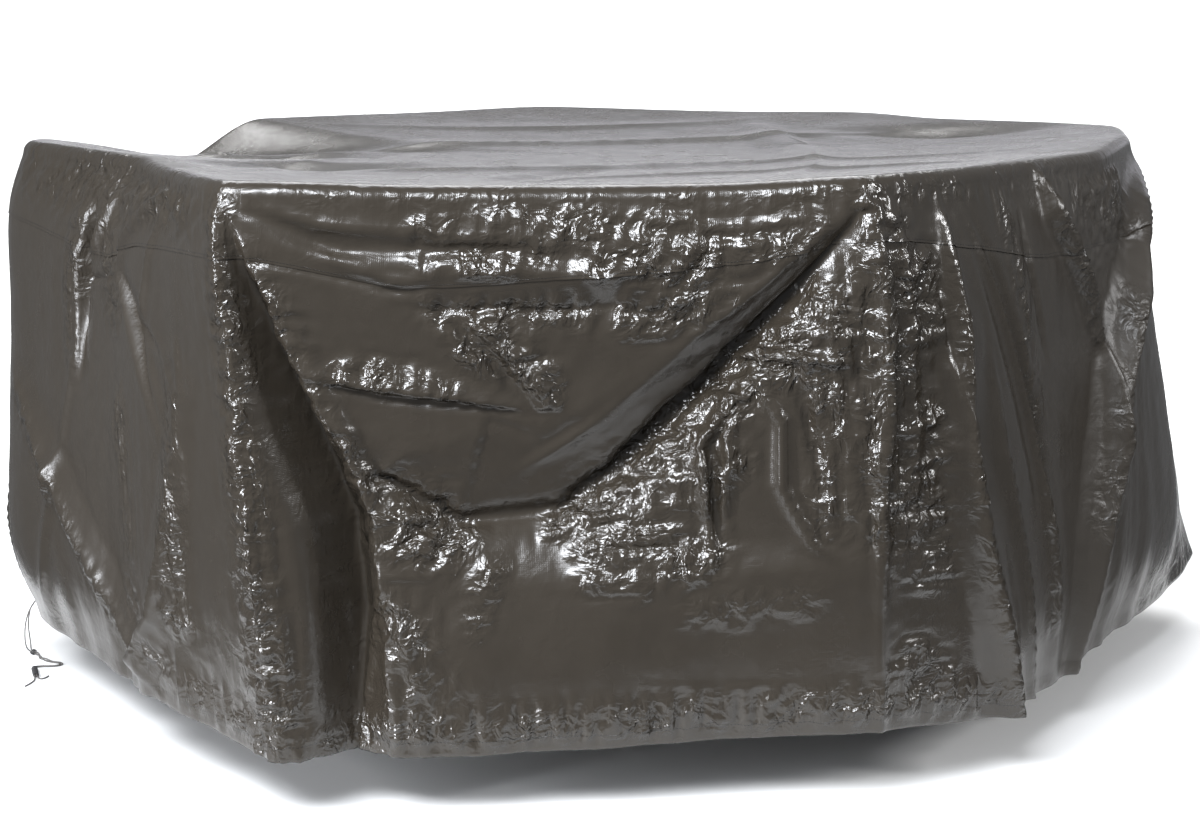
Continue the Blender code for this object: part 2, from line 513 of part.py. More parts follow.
# ---- the drawcord
def strand_route(side):
    """One end's points in the part's frame, side -1 or 1: out of the hem's edge, then along the rows of DRAWCORD."""
    beside = side * CORD_EXITS_APART / 2 / ARC_PER_DEGREE
    hem = side_points(np.array([CORD_EXIT + beside]), np.array([1.0]))[0]
    outward = np.array([hem[0], hem[1], 0.0])
    start = hem - outward / np.linalg.norm(outward) * SHEET / 2 - np.array([0, 0, CORD_GAP])
    middle = np.array([(x, y, z - CROWN) for x, y, z, *_ in DRAWCORD])
    heading = np.gradient(middle, axis=0)
    heading /= np.linalg.norm(heading, axis=1)[:, None]
    route = [start, start - np.array([0, 0, 2 * CORD])]
    for point, ahead, (_, _, _, apart, facing, turn) in zip(middle, heading, DRAWCORD):
        level = np.array([math.sin(math.radians(facing)), -math.cos(math.radians(facing)), 0.0])
        upright = np.cross(level, ahead)
        upright /= np.linalg.norm(upright)
        across = math.cos(math.radians(turn)) * level + math.sin(math.radians(turn)) * upright
        route.append(point + side * apart / 2 * across)
    return route


def smooth_route(points, step):
    """Points about this far apart along a smooth curve through the route's own points."""
    points = [2 * points[0] - points[1], *points, 2 * points[-1] - points[-2]]
    fine = []
    for before, start, end, after in zip(points, points[1:], points[2:], points[3:]):
        for t in np.linspace(0, 1, 12, endpoint=False):
            slope_in, slope_out = (end - before) / 2, (after - start) / 2
            fine.append(hermite(t, 1.0, start, end, slope_in, slope_out))
    fine.append(points[-2])
    fine = np.array(fine)
    along = np.concatenate([[0], np.cumsum(np.linalg.norm(np.diff(fine, axis=0), axis=1))])
    places = np.linspace(0, along[-1], 1 + round(along[-1] / step))
    return np.stack([np.interp(places, along, fine[:, k]) for k in range(3)], axis=-1)


def make_strand(name, side, collection, material):
    curve = bpy.data.curves.new(name, "CURVE")
    curve.dimensions = "3D"
    curve.bevel_depth = CORD / 2
    curve.bevel_resolution = 2
    curve.use_fill_caps = True
    curve.materials.append(material)
    points = smooth_route(strand_route(side), CORD_STEP * CORD)
    spline = curve.splines.new("POLY")
    spline.points.add(len(points) - 1)
    for target, point in zip(spline.points, points):
        target.co = (*point, 1)
    collection.objects.link(bpy.data.objects.new(name, curve))


def make_knot(name, first, last, turns, collection, material):
    """Turns of cord drawn tight round both ends: a turned ring with a ridge for each turn."""
    enters, leaves = (Vector(DRAWCORD[row][:3]) - Vector((0, 0, CROWN)) for row in (first, last))
    length = (leaves - enters).length
    profile = [(KNOT_BORE, length / 2)]
    steps = 4 * turns
    for i in range(steps + 1):
        ridge = KNOT_TURN * (1 - math.cos(math.tau * i / 4)) / 2
        profile.append((KNOT_BORE + KNOT_WALL + ridge, length / 2 - length * i / steps))
    profile.append((KNOT_BORE, -length / 2))
    mesh = bmesh.new()
    ring = [mesh.verts.new((x, 0, z)) for x, z in profile]
    for start, end in zip(ring, ring[1:] + ring[:1]):
        mesh.edges.new((start, end))
    data = bpy.data.meshes.new(name)
    mesh.to_mesh(data)
    mesh.free()
    data.materials.append(material)
    body = bpy.data.objects.new(name, data)
    collection.objects.link(body)
    turn = body.modifiers.new("turn", "SCREW")
    turn.axis = "Z"
    turn.steps = turn.render_steps = KNOT_SIDES
    turn.use_merge_vertices = True
    turn.merge_threshold = 1e-5
    body.location = (enters + leaves) / 2
    body.rotation_euler = (leaves - enters).to_track_quat("-Z", "Y").to_euler()


def main():
    for old in list(bpy.data.objects):
        bpy.data.objects.remove(old, do_unlink=True)
    collection = bpy.data.collections.new("patio_furniture_cover")
    bpy.context.scene.collection.children.link(collection)
    sheet, cord, knot = (finish_of(name) for name in ("sheet", "cord", "knot"))
    make_top(collection, sheet)
    make_skirt(collection, sheet)
    make_strand("left_strand", -1, collection, cord)
    make_strand("right_strand", 1, collection, cord)
    for row in KNOTS:
        make_knot(*row, collection, knot)


main()
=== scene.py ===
"""The looks of the patio furniture cover: its crinkled sheet, seam, hem and drawcord, and the studio."""

import math

import bpy
import numpy as np
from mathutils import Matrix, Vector


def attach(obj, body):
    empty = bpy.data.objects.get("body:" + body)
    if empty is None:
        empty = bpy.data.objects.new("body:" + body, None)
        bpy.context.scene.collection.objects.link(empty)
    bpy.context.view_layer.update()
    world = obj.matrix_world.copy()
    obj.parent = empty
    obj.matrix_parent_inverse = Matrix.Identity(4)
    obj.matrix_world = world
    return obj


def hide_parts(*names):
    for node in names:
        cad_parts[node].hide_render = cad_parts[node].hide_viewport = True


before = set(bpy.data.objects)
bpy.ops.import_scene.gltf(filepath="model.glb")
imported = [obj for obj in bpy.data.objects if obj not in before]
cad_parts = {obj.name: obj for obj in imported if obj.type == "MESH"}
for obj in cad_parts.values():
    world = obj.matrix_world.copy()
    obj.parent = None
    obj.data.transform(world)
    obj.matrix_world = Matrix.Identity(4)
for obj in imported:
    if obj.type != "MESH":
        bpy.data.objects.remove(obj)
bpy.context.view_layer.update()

# ---- driving dimensions, in metres
SHEET = 0.002             # thickness of the sheet, with its small crumples
CROWN = 0.903             # height of the underside of the top at its middle
SHOULDER = 0.020          # radius where the top turns down into the side
POST_BEND = 3.6           # degrees on each side over which the cloth bends round a post
POST_WEIGHTS = ((-1.0, 1), (-0.5, 4), (0.0, 6), (0.5, 4), (1.0, 1))   # shares of that, and their weights
HEM_BAND = 0.025          # depth of the folded hem
HEM_SWELL = 0.002         # how far the hem stands out with the cord in it
CORD = 0.0025             # diameter of the drawcord
CORD_EXIT = -86.5         # azimuth of the rim above the place where its ends leave the hem
CORD_EXITS_APART = 0.006
CORD_GAP = 0.0006         # between the hem's edge and the end of a cord
ARC_PER_DEGREE = 0.0166   # metres round the side for one degree of azimuth
DROP = 0.83               # metres down the side from rim to hem
TOP_SAG = 2.6             # power of the top's rise from its middle to the rim
TOP_FADE = (6, 4)         # how steeply its folds fade in from the middle and out at the rim
SHARPNESS = 1.7           # power of a sharp crease's flanks

# ---- the draped outline: one row for each post, bay or corner, going round from the front
# azimuths at the rim and at the hem; radius at the rim, the seam, three levels down and the hem;
# heights of the rim and the hem; the seam's level as a share of the drop
STATION_COLUMNS = (
    "az_rim", "az_hem", "rim", "seam", "upper", "middle", "lower", "hem", "rim_z", "hem_z", "seam_at"
)
STATIONS = (
    ("front_left_post",      -28, -27.5, 1.117, 1.117, 1.087, 1.067, 1.042, 1.024, 0.940, 0.105, 0.105),
    ("front_left_bay",       -15,   -15, 0.985, 0.985, 0.960, 0.955, 0.960, 0.945, 0.932, 0.108, 0.150),
    ("front_bay",             -2,    -2, 0.930, 0.935, 0.905, 0.890, 0.910, 0.890, 0.930, 0.112, 0.132),
    ("front_right_bay",       11,    12, 0.935, 0.940, 0.915, 0.905, 0.900, 0.875, 0.932, 0.118, 0.115),
    ("front_right_post",      22,    26, 0.993, 0.998, 0.988, 0.978, 0.963, 0.943, 0.942, 0.125, 0.090),
    ("right_near_post",       36,    41, 0.915, 0.930, 0.945, 0.950, 0.950, 0.940, 0.940, 0.108, 0.120),
    ("right_near_gap",        50,    56, 0.870, 0.890, 0.900, 0.905, 0.905, 0.885, 0.938, 0.100, 0.155),
    ("right_bay",             68,    72, 0.880, 0.900, 0.920, 0.930, 0.930, 0.895, 0.935, 0.100, 0.150),
    ("right_post",            90,    90, 0.932, 0.952, 0.980, 1.018, 1.045, 1.018, 0.940, 0.110, 0.120),
    ("right_corner",         103,   103, 0.991, 0.996, 1.021, 1.066, 1.121, 1.182, 0.943, 0.135, 0.110),
    ("right_back",           112,   112, 0.985, 0.990, 1.005, 1.025, 1.060, 1.085, 0.940, 0.130, 0.110),
    ("back_right_bay",       128,   126, 0.855, 0.880, 0.900, 0.915, 0.930, 0.940, 0.940, 0.115, 0.120),
    ("back_right_post",      142,   142, 0.901, 0.921, 0.946, 0.966, 0.981, 0.976, 0.942, 0.100, 0.110),
    ("back_bay",             164,   164, 0.875, 0.890, 0.890, 0.900, 0.915, 0.910, 0.938, 0.110, 0.120),
    ("back_post",            188,   188, 0.958, 0.973, 0.988, 0.998, 1.003, 0.998, 0.942, 0.100, 0.110),
    ("back_left_bay",        206,   206, 0.875, 0.890, 0.890, 0.900, 0.915, 0.915, 0.938, 0.115, 0.120),
    ("back_left_flat",       221,   220, 0.835, 0.870, 0.900, 0.930, 0.950, 0.950, 0.940, 0.110, 0.115),
    ("back_left_post",       232,   230, 0.862, 0.900, 0.940, 0.960, 0.975, 0.970, 0.940, 0.105, 0.110),
    ("left_far_gap",         249,   247, 0.890, 0.900, 0.910, 0.935, 0.970, 0.985, 0.862, 0.130, 0.060),
    ("left_far_corner",      266,   262, 0.968, 0.990, 1.025, 1.045, 1.062, 1.072, 0.925, 0.150, 0.110),
    ("left_post",            280,   279, 0.995, 1.022, 1.024, 1.034, 1.039, 0.989, 0.942, 0.110, 0.125),
    ("left_near_gap",        304,   303, 0.868, 0.915, 0.930, 0.935, 0.925, 0.905, 0.938, 0.102, 0.160),
    ("left_near_post",       316,   315, 0.945, 0.975, 0.985, 0.980, 0.970, 0.955, 0.938, 0.118, 0.120),
)
LEVELS = (("rim", 0.0), ("seam", 0.115), ("upper", 0.33), ("middle", 0.58), ("lower", 0.82), ("hem", 1.0))

# ---- folds of the side: in each fold, a row for each point along it
# azimuth at the rim in degrees; then in thousandths: share of the drop, metres of width on the left and
# right, seen along its line from outside, and metres that the cloth stands out (or in, below 0);
# last, only where the fold isn't a sharp crease (1): how sharp it is, down to 0 for a soft one
SIDE_FOLDS = {
    "left_post_edge": ((-28.2, -20, 30, 22, 0), (-28.2, 80, 40, 24, 10), (-28, 570, 50, 30, 14),
        (-27.5, 1000, 60, 40, 8)),
    "wedge": ((-27.8, 20, 8, 10, 0), (-26.7, 150, 24, 20, -36, 0.4), (-25.9, 280, 36, 30, -66, 0.35),
        (-24.7, 410, 52, 36, -88, 0.3), (-22.8, 570, 84, 42, -104, 0.3), (-22.2, 740, 94, 44, -100, 0.3),
        (-22.6, 1000, 88, 46, -50, 0.4)),
    "wedge_lip": ((-26.2, 100, 12, 30, 0), (-22.6, 280, 16, 60, 10), (-20.8, 400, 20, 70, 14),
        (-19.2, 560, 22, 80, 18), (-18.4, 720, 26, 80, 16), (-19, 950, 36, 60, 6)),
    "swag": ((21.8, 20, 30, 20, 0), (16.4, 180, 70, 55, -36), (10, 330, 95, 85, -52),
        (2.2, 485, 110, 120, -48), (-3.8, 565, 110, 220, -38), (-12.6, 575, 95, 200, -34),
        (-18.6, 490, 50, 50, -24), (-21.8, 400, 20, 40, 0)),
    "knee": ((26, 680, 60, 40, 0, 0), (16, 680, 110, 60, 10, 0.3), (4, 690, 110, 60, 10, 0.5),
        (-4, 670, 90, 60, 2, 0.5), (-12, 660, 70, 60, 2, 0.5), (-18.5, 660, 50, 60, 10, 0.6),
        (-22, 740, 40, 50, 0, 0)),
    "lip": ((-24, 300, 20, 6, 0), (-21, 315, 35, 7, 9), (-18, 330, 45, 8, 14), (-13.2, 345, 45, 8, 15),
        (-9.5, 360, 30, 8, 9), (-6.4, 375, 20, 8, 0)),
    "facet_top": ((-17, 140, 20, 20, 0), (-14, 125, 30, 40, 6), (-8, 122, 40, 45, 9), (0, 128, 40, 45, 9),
        (6, 120, 40, 40, 3), (14, 80, 30, 40, 0, 0)),
    "facet_foot": ((-17, 175, 20, 20, 0), (-13.5, 190, 35, 40, -12), (-6, 190, 35, 45, -14),
        (0.5, 185, 35, 45, -12), (8, 210, 30, 40, -3)),
    "fan": ((-27, 10, 14, 14, 0, 0), (-22, 75, 30, 24, -10, 0), (-12, 85, 30, 24, -5, 0),
        (2, 110, 30, 24, 0, 0)),
    "right_post_edge": ((22.2, -10, 26, 30, 0), (22.5, 120, 30, 34, 12), (23, 270, 36, 40, 16),
        (21.6, 550, 50, 60, 14), (22, 1000, 60, 60, 6)),
    "second_ridge": ((30.5, 20, 30, 30, 0, 0), (32, 280, 60, 50, 12, 0), (30.8, 470, 60, 60, 16, 0),
        (34.4, 800, 70, 60, 18, 0), (36.8, 1000, 60, 60, 12, 0)),
    "long_fold": ((33.6, 20, 20, 20, 0, 0), (38, 200, 35, 40, -12, 0), (42.8, 450, 45, 50, -14, 0),
        (46, 660, 40, 40, 0, 0)),
    "third_ridge": ((49.5, -20, 30, 30, 0, 0), (50.6, 70, 40, 40, 10, 0), (56, 210, 40, 40, 8, 0),
        (60, 400, 30, 30, 0, 0)),
    "long_ridge": ((92, 20, 40, 40, 0, 0), (78, 120, 70, 60, 18, 0), (68, 270, 80, 70, 26, 0),
        (62, 420, 80, 70, 26, 0), (57.5, 700, 80, 80, 20, 0), (54, 1000, 70, 70, 12, 0)),
    "left_pleat": ((-60.6, 60, 30, 14, 0, 0), (-61.6, 150, 70, 16, -22), (-62.2, 250, 70, 16, -20),
        (-62, 450, 40, 20, 0, 0)),
    "left_dent": ((-49.8, 170, 30, 30, 0, 0), (-45, 240, 40, 40, -12, 0), (-40.5, 340, 40, 40, -8, 0),
        (-38, 480, 30, 30, 0, 0)),
    "left_long_ridge": ((-80, 420, 40, 40, 0, 0), (-70.2, 590, 60, 60, 14, 0), (-60, 760, 60, 60, 16, 0),
        (-48, 930, 50, 50, 10, 0)),
    "left_near_ridge": ((-34.6, 300, 40, 40, 0, 0), (-38, 550, 50, 50, 10, 0), (-42, 780, 50, 60, 14, 0),
        (-48.5, 990, 50, 60, 10, 0)),
    "hem_pinch": ((-86, 800, 50, 50, 0, 0), (-87, 920, 50, 50, -14, 0), (-87.5, 1000, 50, 50, -18, 0)),
    "back_swag": ((142, 40, 40, 40, 0, 0), (155, 340, 80, 60, -26, 0), (166, 500, 110, 60, -34, 0),
        (178, 340, 80, 60, -22, 0), (187, 60, 40, 40, 0, 0)),
    "back_fold": ((190, 50, 40, 40, 0, 0), (198, 400, 70, 70, -22, 0), (209, 800, 80, 80, -24, 0),
        (212, 1000, 70, 70, -12, 0)),
    "back_ridge": ((231, 30, 60, 60, 0, 0), (230, 400, 80, 80, 22, 0), (226, 1000, 80, 80, 14, 0)),
    "back_right_fold": ((112, 60, 50, 50, 0, 0), (120, 400, 70, 70, -24, 0), (124, 800, 80, 80, -20, 0),
        (125, 1000, 70, 70, -10, 0)),
}

# ---- folds of the top, in plan: x, y, width on the left and right and rise, all in thousandths of a metre;
# and how sharp, as above
TOP_FOLDS = {
    "cross_crease": ((300, 860, 50, 50, 0, 0), (330, 300, 60, 60, 6, 0), (400, -500, 60, 50, 0, 0)),
    "right_dip": ((900, 300, 60, 60, 0, 0), (660, 340, 130, 120, -16, 0), (400, 420, 80, 80, 0, 0)),
    "long_crease_a": ((-660, -600, 40, 60, 0), (-200, -360, 50, 100, 5), (300, -200, 50, 100, 5),
        (780, -120, 40, 60, 0)),
    "long_crease_b": ((-300, -780, 30, 50, 0), (100, -520, 40, 80, 4), (500, -440, 40, 80, 4),
        (860, -400, 30, 50, 0)),
    "long_crease_c": ((220, -880, 30, 50, 0), (340, -450, 40, 90, 6), (380, 100, 40, 90, 6),
        (300, 620, 30, 50, 0)),
    "long_crease_d": ((550, -800, 30, 40, 0), (680, -400, 40, 80, 5), (780, 150, 40, 60, 0)),
    "long_crease_e": ((-800, -20, 50, 60, 0), (-300, 220, 60, 120, 6), (300, 360, 60, 120, 6),
        (800, 420, 50, 60, 0)),
    "long_crease_f": ((-600, 480, 50, 60, 0), (-100, 580, 60, 120, 5), (500, 720, 50, 60, 0)),
    "long_crease_g": ((-450, -820, 30, 40, 0), (-520, -450, 40, 80, 5), (-360, 20, 40, 50, 0)),
    "long_hollow_h": ((-50, -880, 40, 40, 0, 0), (-120, -600, 80, 60, -5, 0), (60, -180, 50, 50, 0, 0)),
    "left_dip": ((-900, 320, 100, 100, 0, 0), (-770, -20, 340, 170, -38, 0), (-600, 0, 340, 170, -38, 0),
        (-340, 0, 120, 120, 0, 0)),
    "front_left_dip": ((-660, -560, 60, 60, 0, 0), (-480, -440, 110, 110, -14, 0),
        (-240, -260, 80, 80, 0, 0)),
}

# ---- slack that the hem's cord gathers: how many waves round, their start in degrees, their depth at the hem
HEM_WAVES = ((23, 40, 0.0022), (37, 110, 0.0018), (61, 15, 0.0012))

# ---- the drawcord's two ends, side by side from under the hem to their tips: x, y and height above the floor
# midway between them; how far apart their centres are; the azimuth that a level line across them faces; and
# how far they are turned about each other from that line, in degrees
DRAWCORD = (
    (-1.0262, -0.0190, 0.0960, 0.0058,    0,   0),
    (-1.0325, -0.0178, 0.0830, 0.0056,    0,  25),
    (-1.0368, -0.0165, 0.0680, 0.0060,    0,  50),
    (-1.0390, -0.0150, 0.0520, 0.0070,    0,  75),
    (-1.0392, -0.0138, 0.0370, 0.0086,    0,  90),
    (-1.0388, -0.0118, 0.0230, 0.0092,    0,  90),
    (-1.0382, -0.0090, 0.0130, 0.0078,  -10,  90),
    (-1.0357, -0.0056, 0.0066, 0.0042,  -34,  90),
    (-1.0325, -0.0080, 0.0058, 0.0036,  -37,  90),
    (-1.0267, -0.0124, 0.0053, 0.0036,  -37,  90),
    (-1.0235, -0.0148, 0.0050, 0.0036,  -38, 100),
    (-1.0205, -0.0182, 0.0044, 0.0036,  -46, 140),
    (-1.0182, -0.0226, 0.0040, 0.0036,  -56, 185),
    (-1.0161, -0.0276, 0.0036, 0.0036,  -60, 230),
    (-1.0136, -0.0328, 0.0034, 0.0036,  -58, 280),
    (-1.0108, -0.0380, 0.0033, 0.0036,  -55, 330),
    (-1.0074, -0.0432, 0.0033, 0.0036,  -50, 380),
    (-1.0028, -0.0482, 0.0033, 0.0036,  -44, 430),
    (-0.9972, -0.0528, 0.0030, 0.0036,  -38, 480),
    (-0.9908, -0.0570, 0.0020, 0.0038,  -30, 525),
    (-0.9840, -0.0606, 0.0014, 0.0042,  -25, 540),
    (-0.9762, -0.0634, 0.0014, 0.0042,  -22, 540),
    (-0.9690, -0.0676, 0.0014, 0.0042,  -45, 540),
    (-0.9655, -0.0745, 0.0014, 0.0042,  -85, 540),
    (-0.9682, -0.0820, 0.0014, 0.0042, -130, 540),
    (-0.9755, -0.0862, 0.0014, 0.0042, -165, 540),
    (-0.9850, -0.0876, 0.0014, 0.0042, -178, 540),
    (-0.9945, -0.0880, 0.0014, 0.0042, -176, 540),
    (-1.0022, -0.0905, 0.0018, 0.0042, -155, 540),
    (-1.0066, -0.0965, 0.0030, 0.0038, -115, 540),
    (-1.0072, -0.1045, 0.0046, 0.0036,  -80, 540),
    (-1.0048, -0.1130, 0.0053, 0.0036,  -73, 540),
    (-1.0004, -0.1277, 0.0053, 0.0036,  -73, 540),
    (-0.9960, -0.1425, 0.0053, 0.0036,  -73, 540),
    (-0.9916, -0.1572, 0.0053, 0.0036,  -73, 540),
    (-0.9904, -0.1611, 0.0050, 0.0037,  -73, 540),
    (-0.9889, -0.1653, 0.0034, 0.0059,  -65, 540),
    (-0.9860, -0.1713, 0.0016, 0.0131,  -43, 540),
    (-0.9843, -0.1758, 0.0014, 0.0279,  -33, 540),
    (-0.9840, -0.1783, 0.0014, 0.0474,  -26, 540),
    (-0.9847, -0.1803, 0.0014, 0.0678,  -23, 540),
)

# ---- the knots: the rows above where each starts and ends, and its turns of cord round the two ends
KNOTS = (("upper_knot", 8, 9, 2), ("wound_knot", 31, 34, 9))
WRAP_CORD = 0.0021        # the cord that winds round the two ends, drawn tight
WRAP_RADIUS = 0.0043
WRAP_UNEVEN = 0.0002      # how far that radius wanders
WRAP_POINTS = 20          # points of the winding in each turn

# ---- colours (linear red, green, blue, alpha) and the cut sizes of the cloth
BASE_DARK = (0.0182, 0.0147, 0.0108, 1)
BASE_LIGHT = (0.0238, 0.0196, 0.0148, 1)
BASE_WORN = (0.034, 0.0292, 0.0230, 1)
THREAD = (0.012, 0.011, 0.010, 1)
BRAIDS = {
    # dark and light colour of the braid, and its turns along the cord
    "cord_braid": ((0.050, 0.047, 0.044, 1), (0.150, 0.140, 0.132, 1), 110),
    # the knots' braid is far darker than the cord's own: painted shade for the dark look of the tightly wound
    # knots
    "knot_braid_painted_shade": ((0.012, 0.012, 0.013, 1), (0.040, 0.038, 0.038, 1), 160),
}
PAPER, PAPER_CLOUD, PAPER_ROUGH = ((0.80, 0.80, 0.79, 1), (0.84, 0.84, 0.83, 1)), (1.5, 3.0), 0.9

# ---- stitches beside the seam and the hem: length of one with its gap, the thread's share of it, its width
STITCH, STITCH_SHARE, STITCH_WIDTH = 0.0045, 0.72, 0.0009
SEAM_STITCHES = -0.004    # from the seam, on the top's side of it
HEM_STITCHES = 0.003      # from the upper edge of the hem's band

# ---- the studio
CAMERA_PLACE = (0, -4.226, 1.21 - CROWN)
CAMERA_TILT = 79.611      # degrees up from straight down
LENS, SENSOR = 72, 36
AIR, AIR_COLOUR = 0.26, (0.92, 0.95, 1.0, 1)
SWEEP = (
    # y, height above the floor, half the width
    (-1.15, 0.0, 0.9), (0.5, 0.0, 1.35), (2.5, 0.0, 1.9), (4.2, 0.04, 2.35), (5.4, 0.22, 2.65),
    (6.1, 0.62, 2.85), (6.4, 1.28, 2.95),
)
LIGHTS = (
    # name, place, aim, size, watts, colour
    ("front_high",  (-1.5, -4.4, 2.9), (-0.1, -0.9, -0.4), (3.2, 1.5), 700, (0.92, 0.95, 1.0)),
    ("left_front",  (-3.7, -3.3, 0.0), (-0.5, -0.9, -0.4), (0.35, 1.9), 260, (0.93, 0.95, 1.0)),
    ("right_front", (4.6, -2.2, 1.6),  (0.6, -0.6, -0.3), (0.6, 1.2), 170, (0.96, 0.96, 0.97)),
    ("overhead",    (0.0, 1.8, 3.4),   (0.0, 0.6, 0.0),   (4.0, 2.0), 90, (0.93, 0.94, 1.0)),
    ("paper_wash",  (0.0, 3.2, 4.4),   (0.0, 6.4, 0.6),   (6.0, 1.2), 420, (1.0, 1.0, 1.0)),
    ("floor_wash",  (0.0, 4.6, 3.6),   (0.0, 1.2, -0.9),  (5.0, 1.0), 120, (1.0, 1.0, 1.0)),
    ("back_glow",   (1.0, 6.6, 0.88),  (0.0, 0.0, 0.0),   (8.5, 0.7), 20, (0.92, 0.91, 1.0)),
)

# ---- the fine cloth: azimuth spans with their steps, and its rows of each part, from the hem to the middle
FINE_SPANS = ((-104, 112, 0.36), (112, 256, 0.9))
SKIRT_STEPS, BAND_STEPS, SHOULDER_STEPS = 122, 14, 6
TOP_OUTER_RINGS, TOP_INNER_RINGS = 60, 14
TOP_CHANGE, TOP_LAST = 0.42, 0.02     # shares of the radius where the rings change their step, and end
HEM_TUCK = (4, 2, 0)      # the rows above the hem's edge that the folded hem has inside too
HEM_INSIDE = 0.0034       # how far inside the hem's inner layer lies
EDGE_INSIDE, EDGE_DROP = 0.0016, 0.0012   # the edge of the fold: how far inside, and below the first row
SEAM_INSIDE, SEAM_OUTSIDE = 0.0012, 0.0008    # the skirt's edge lies inside the seam, the top's outside

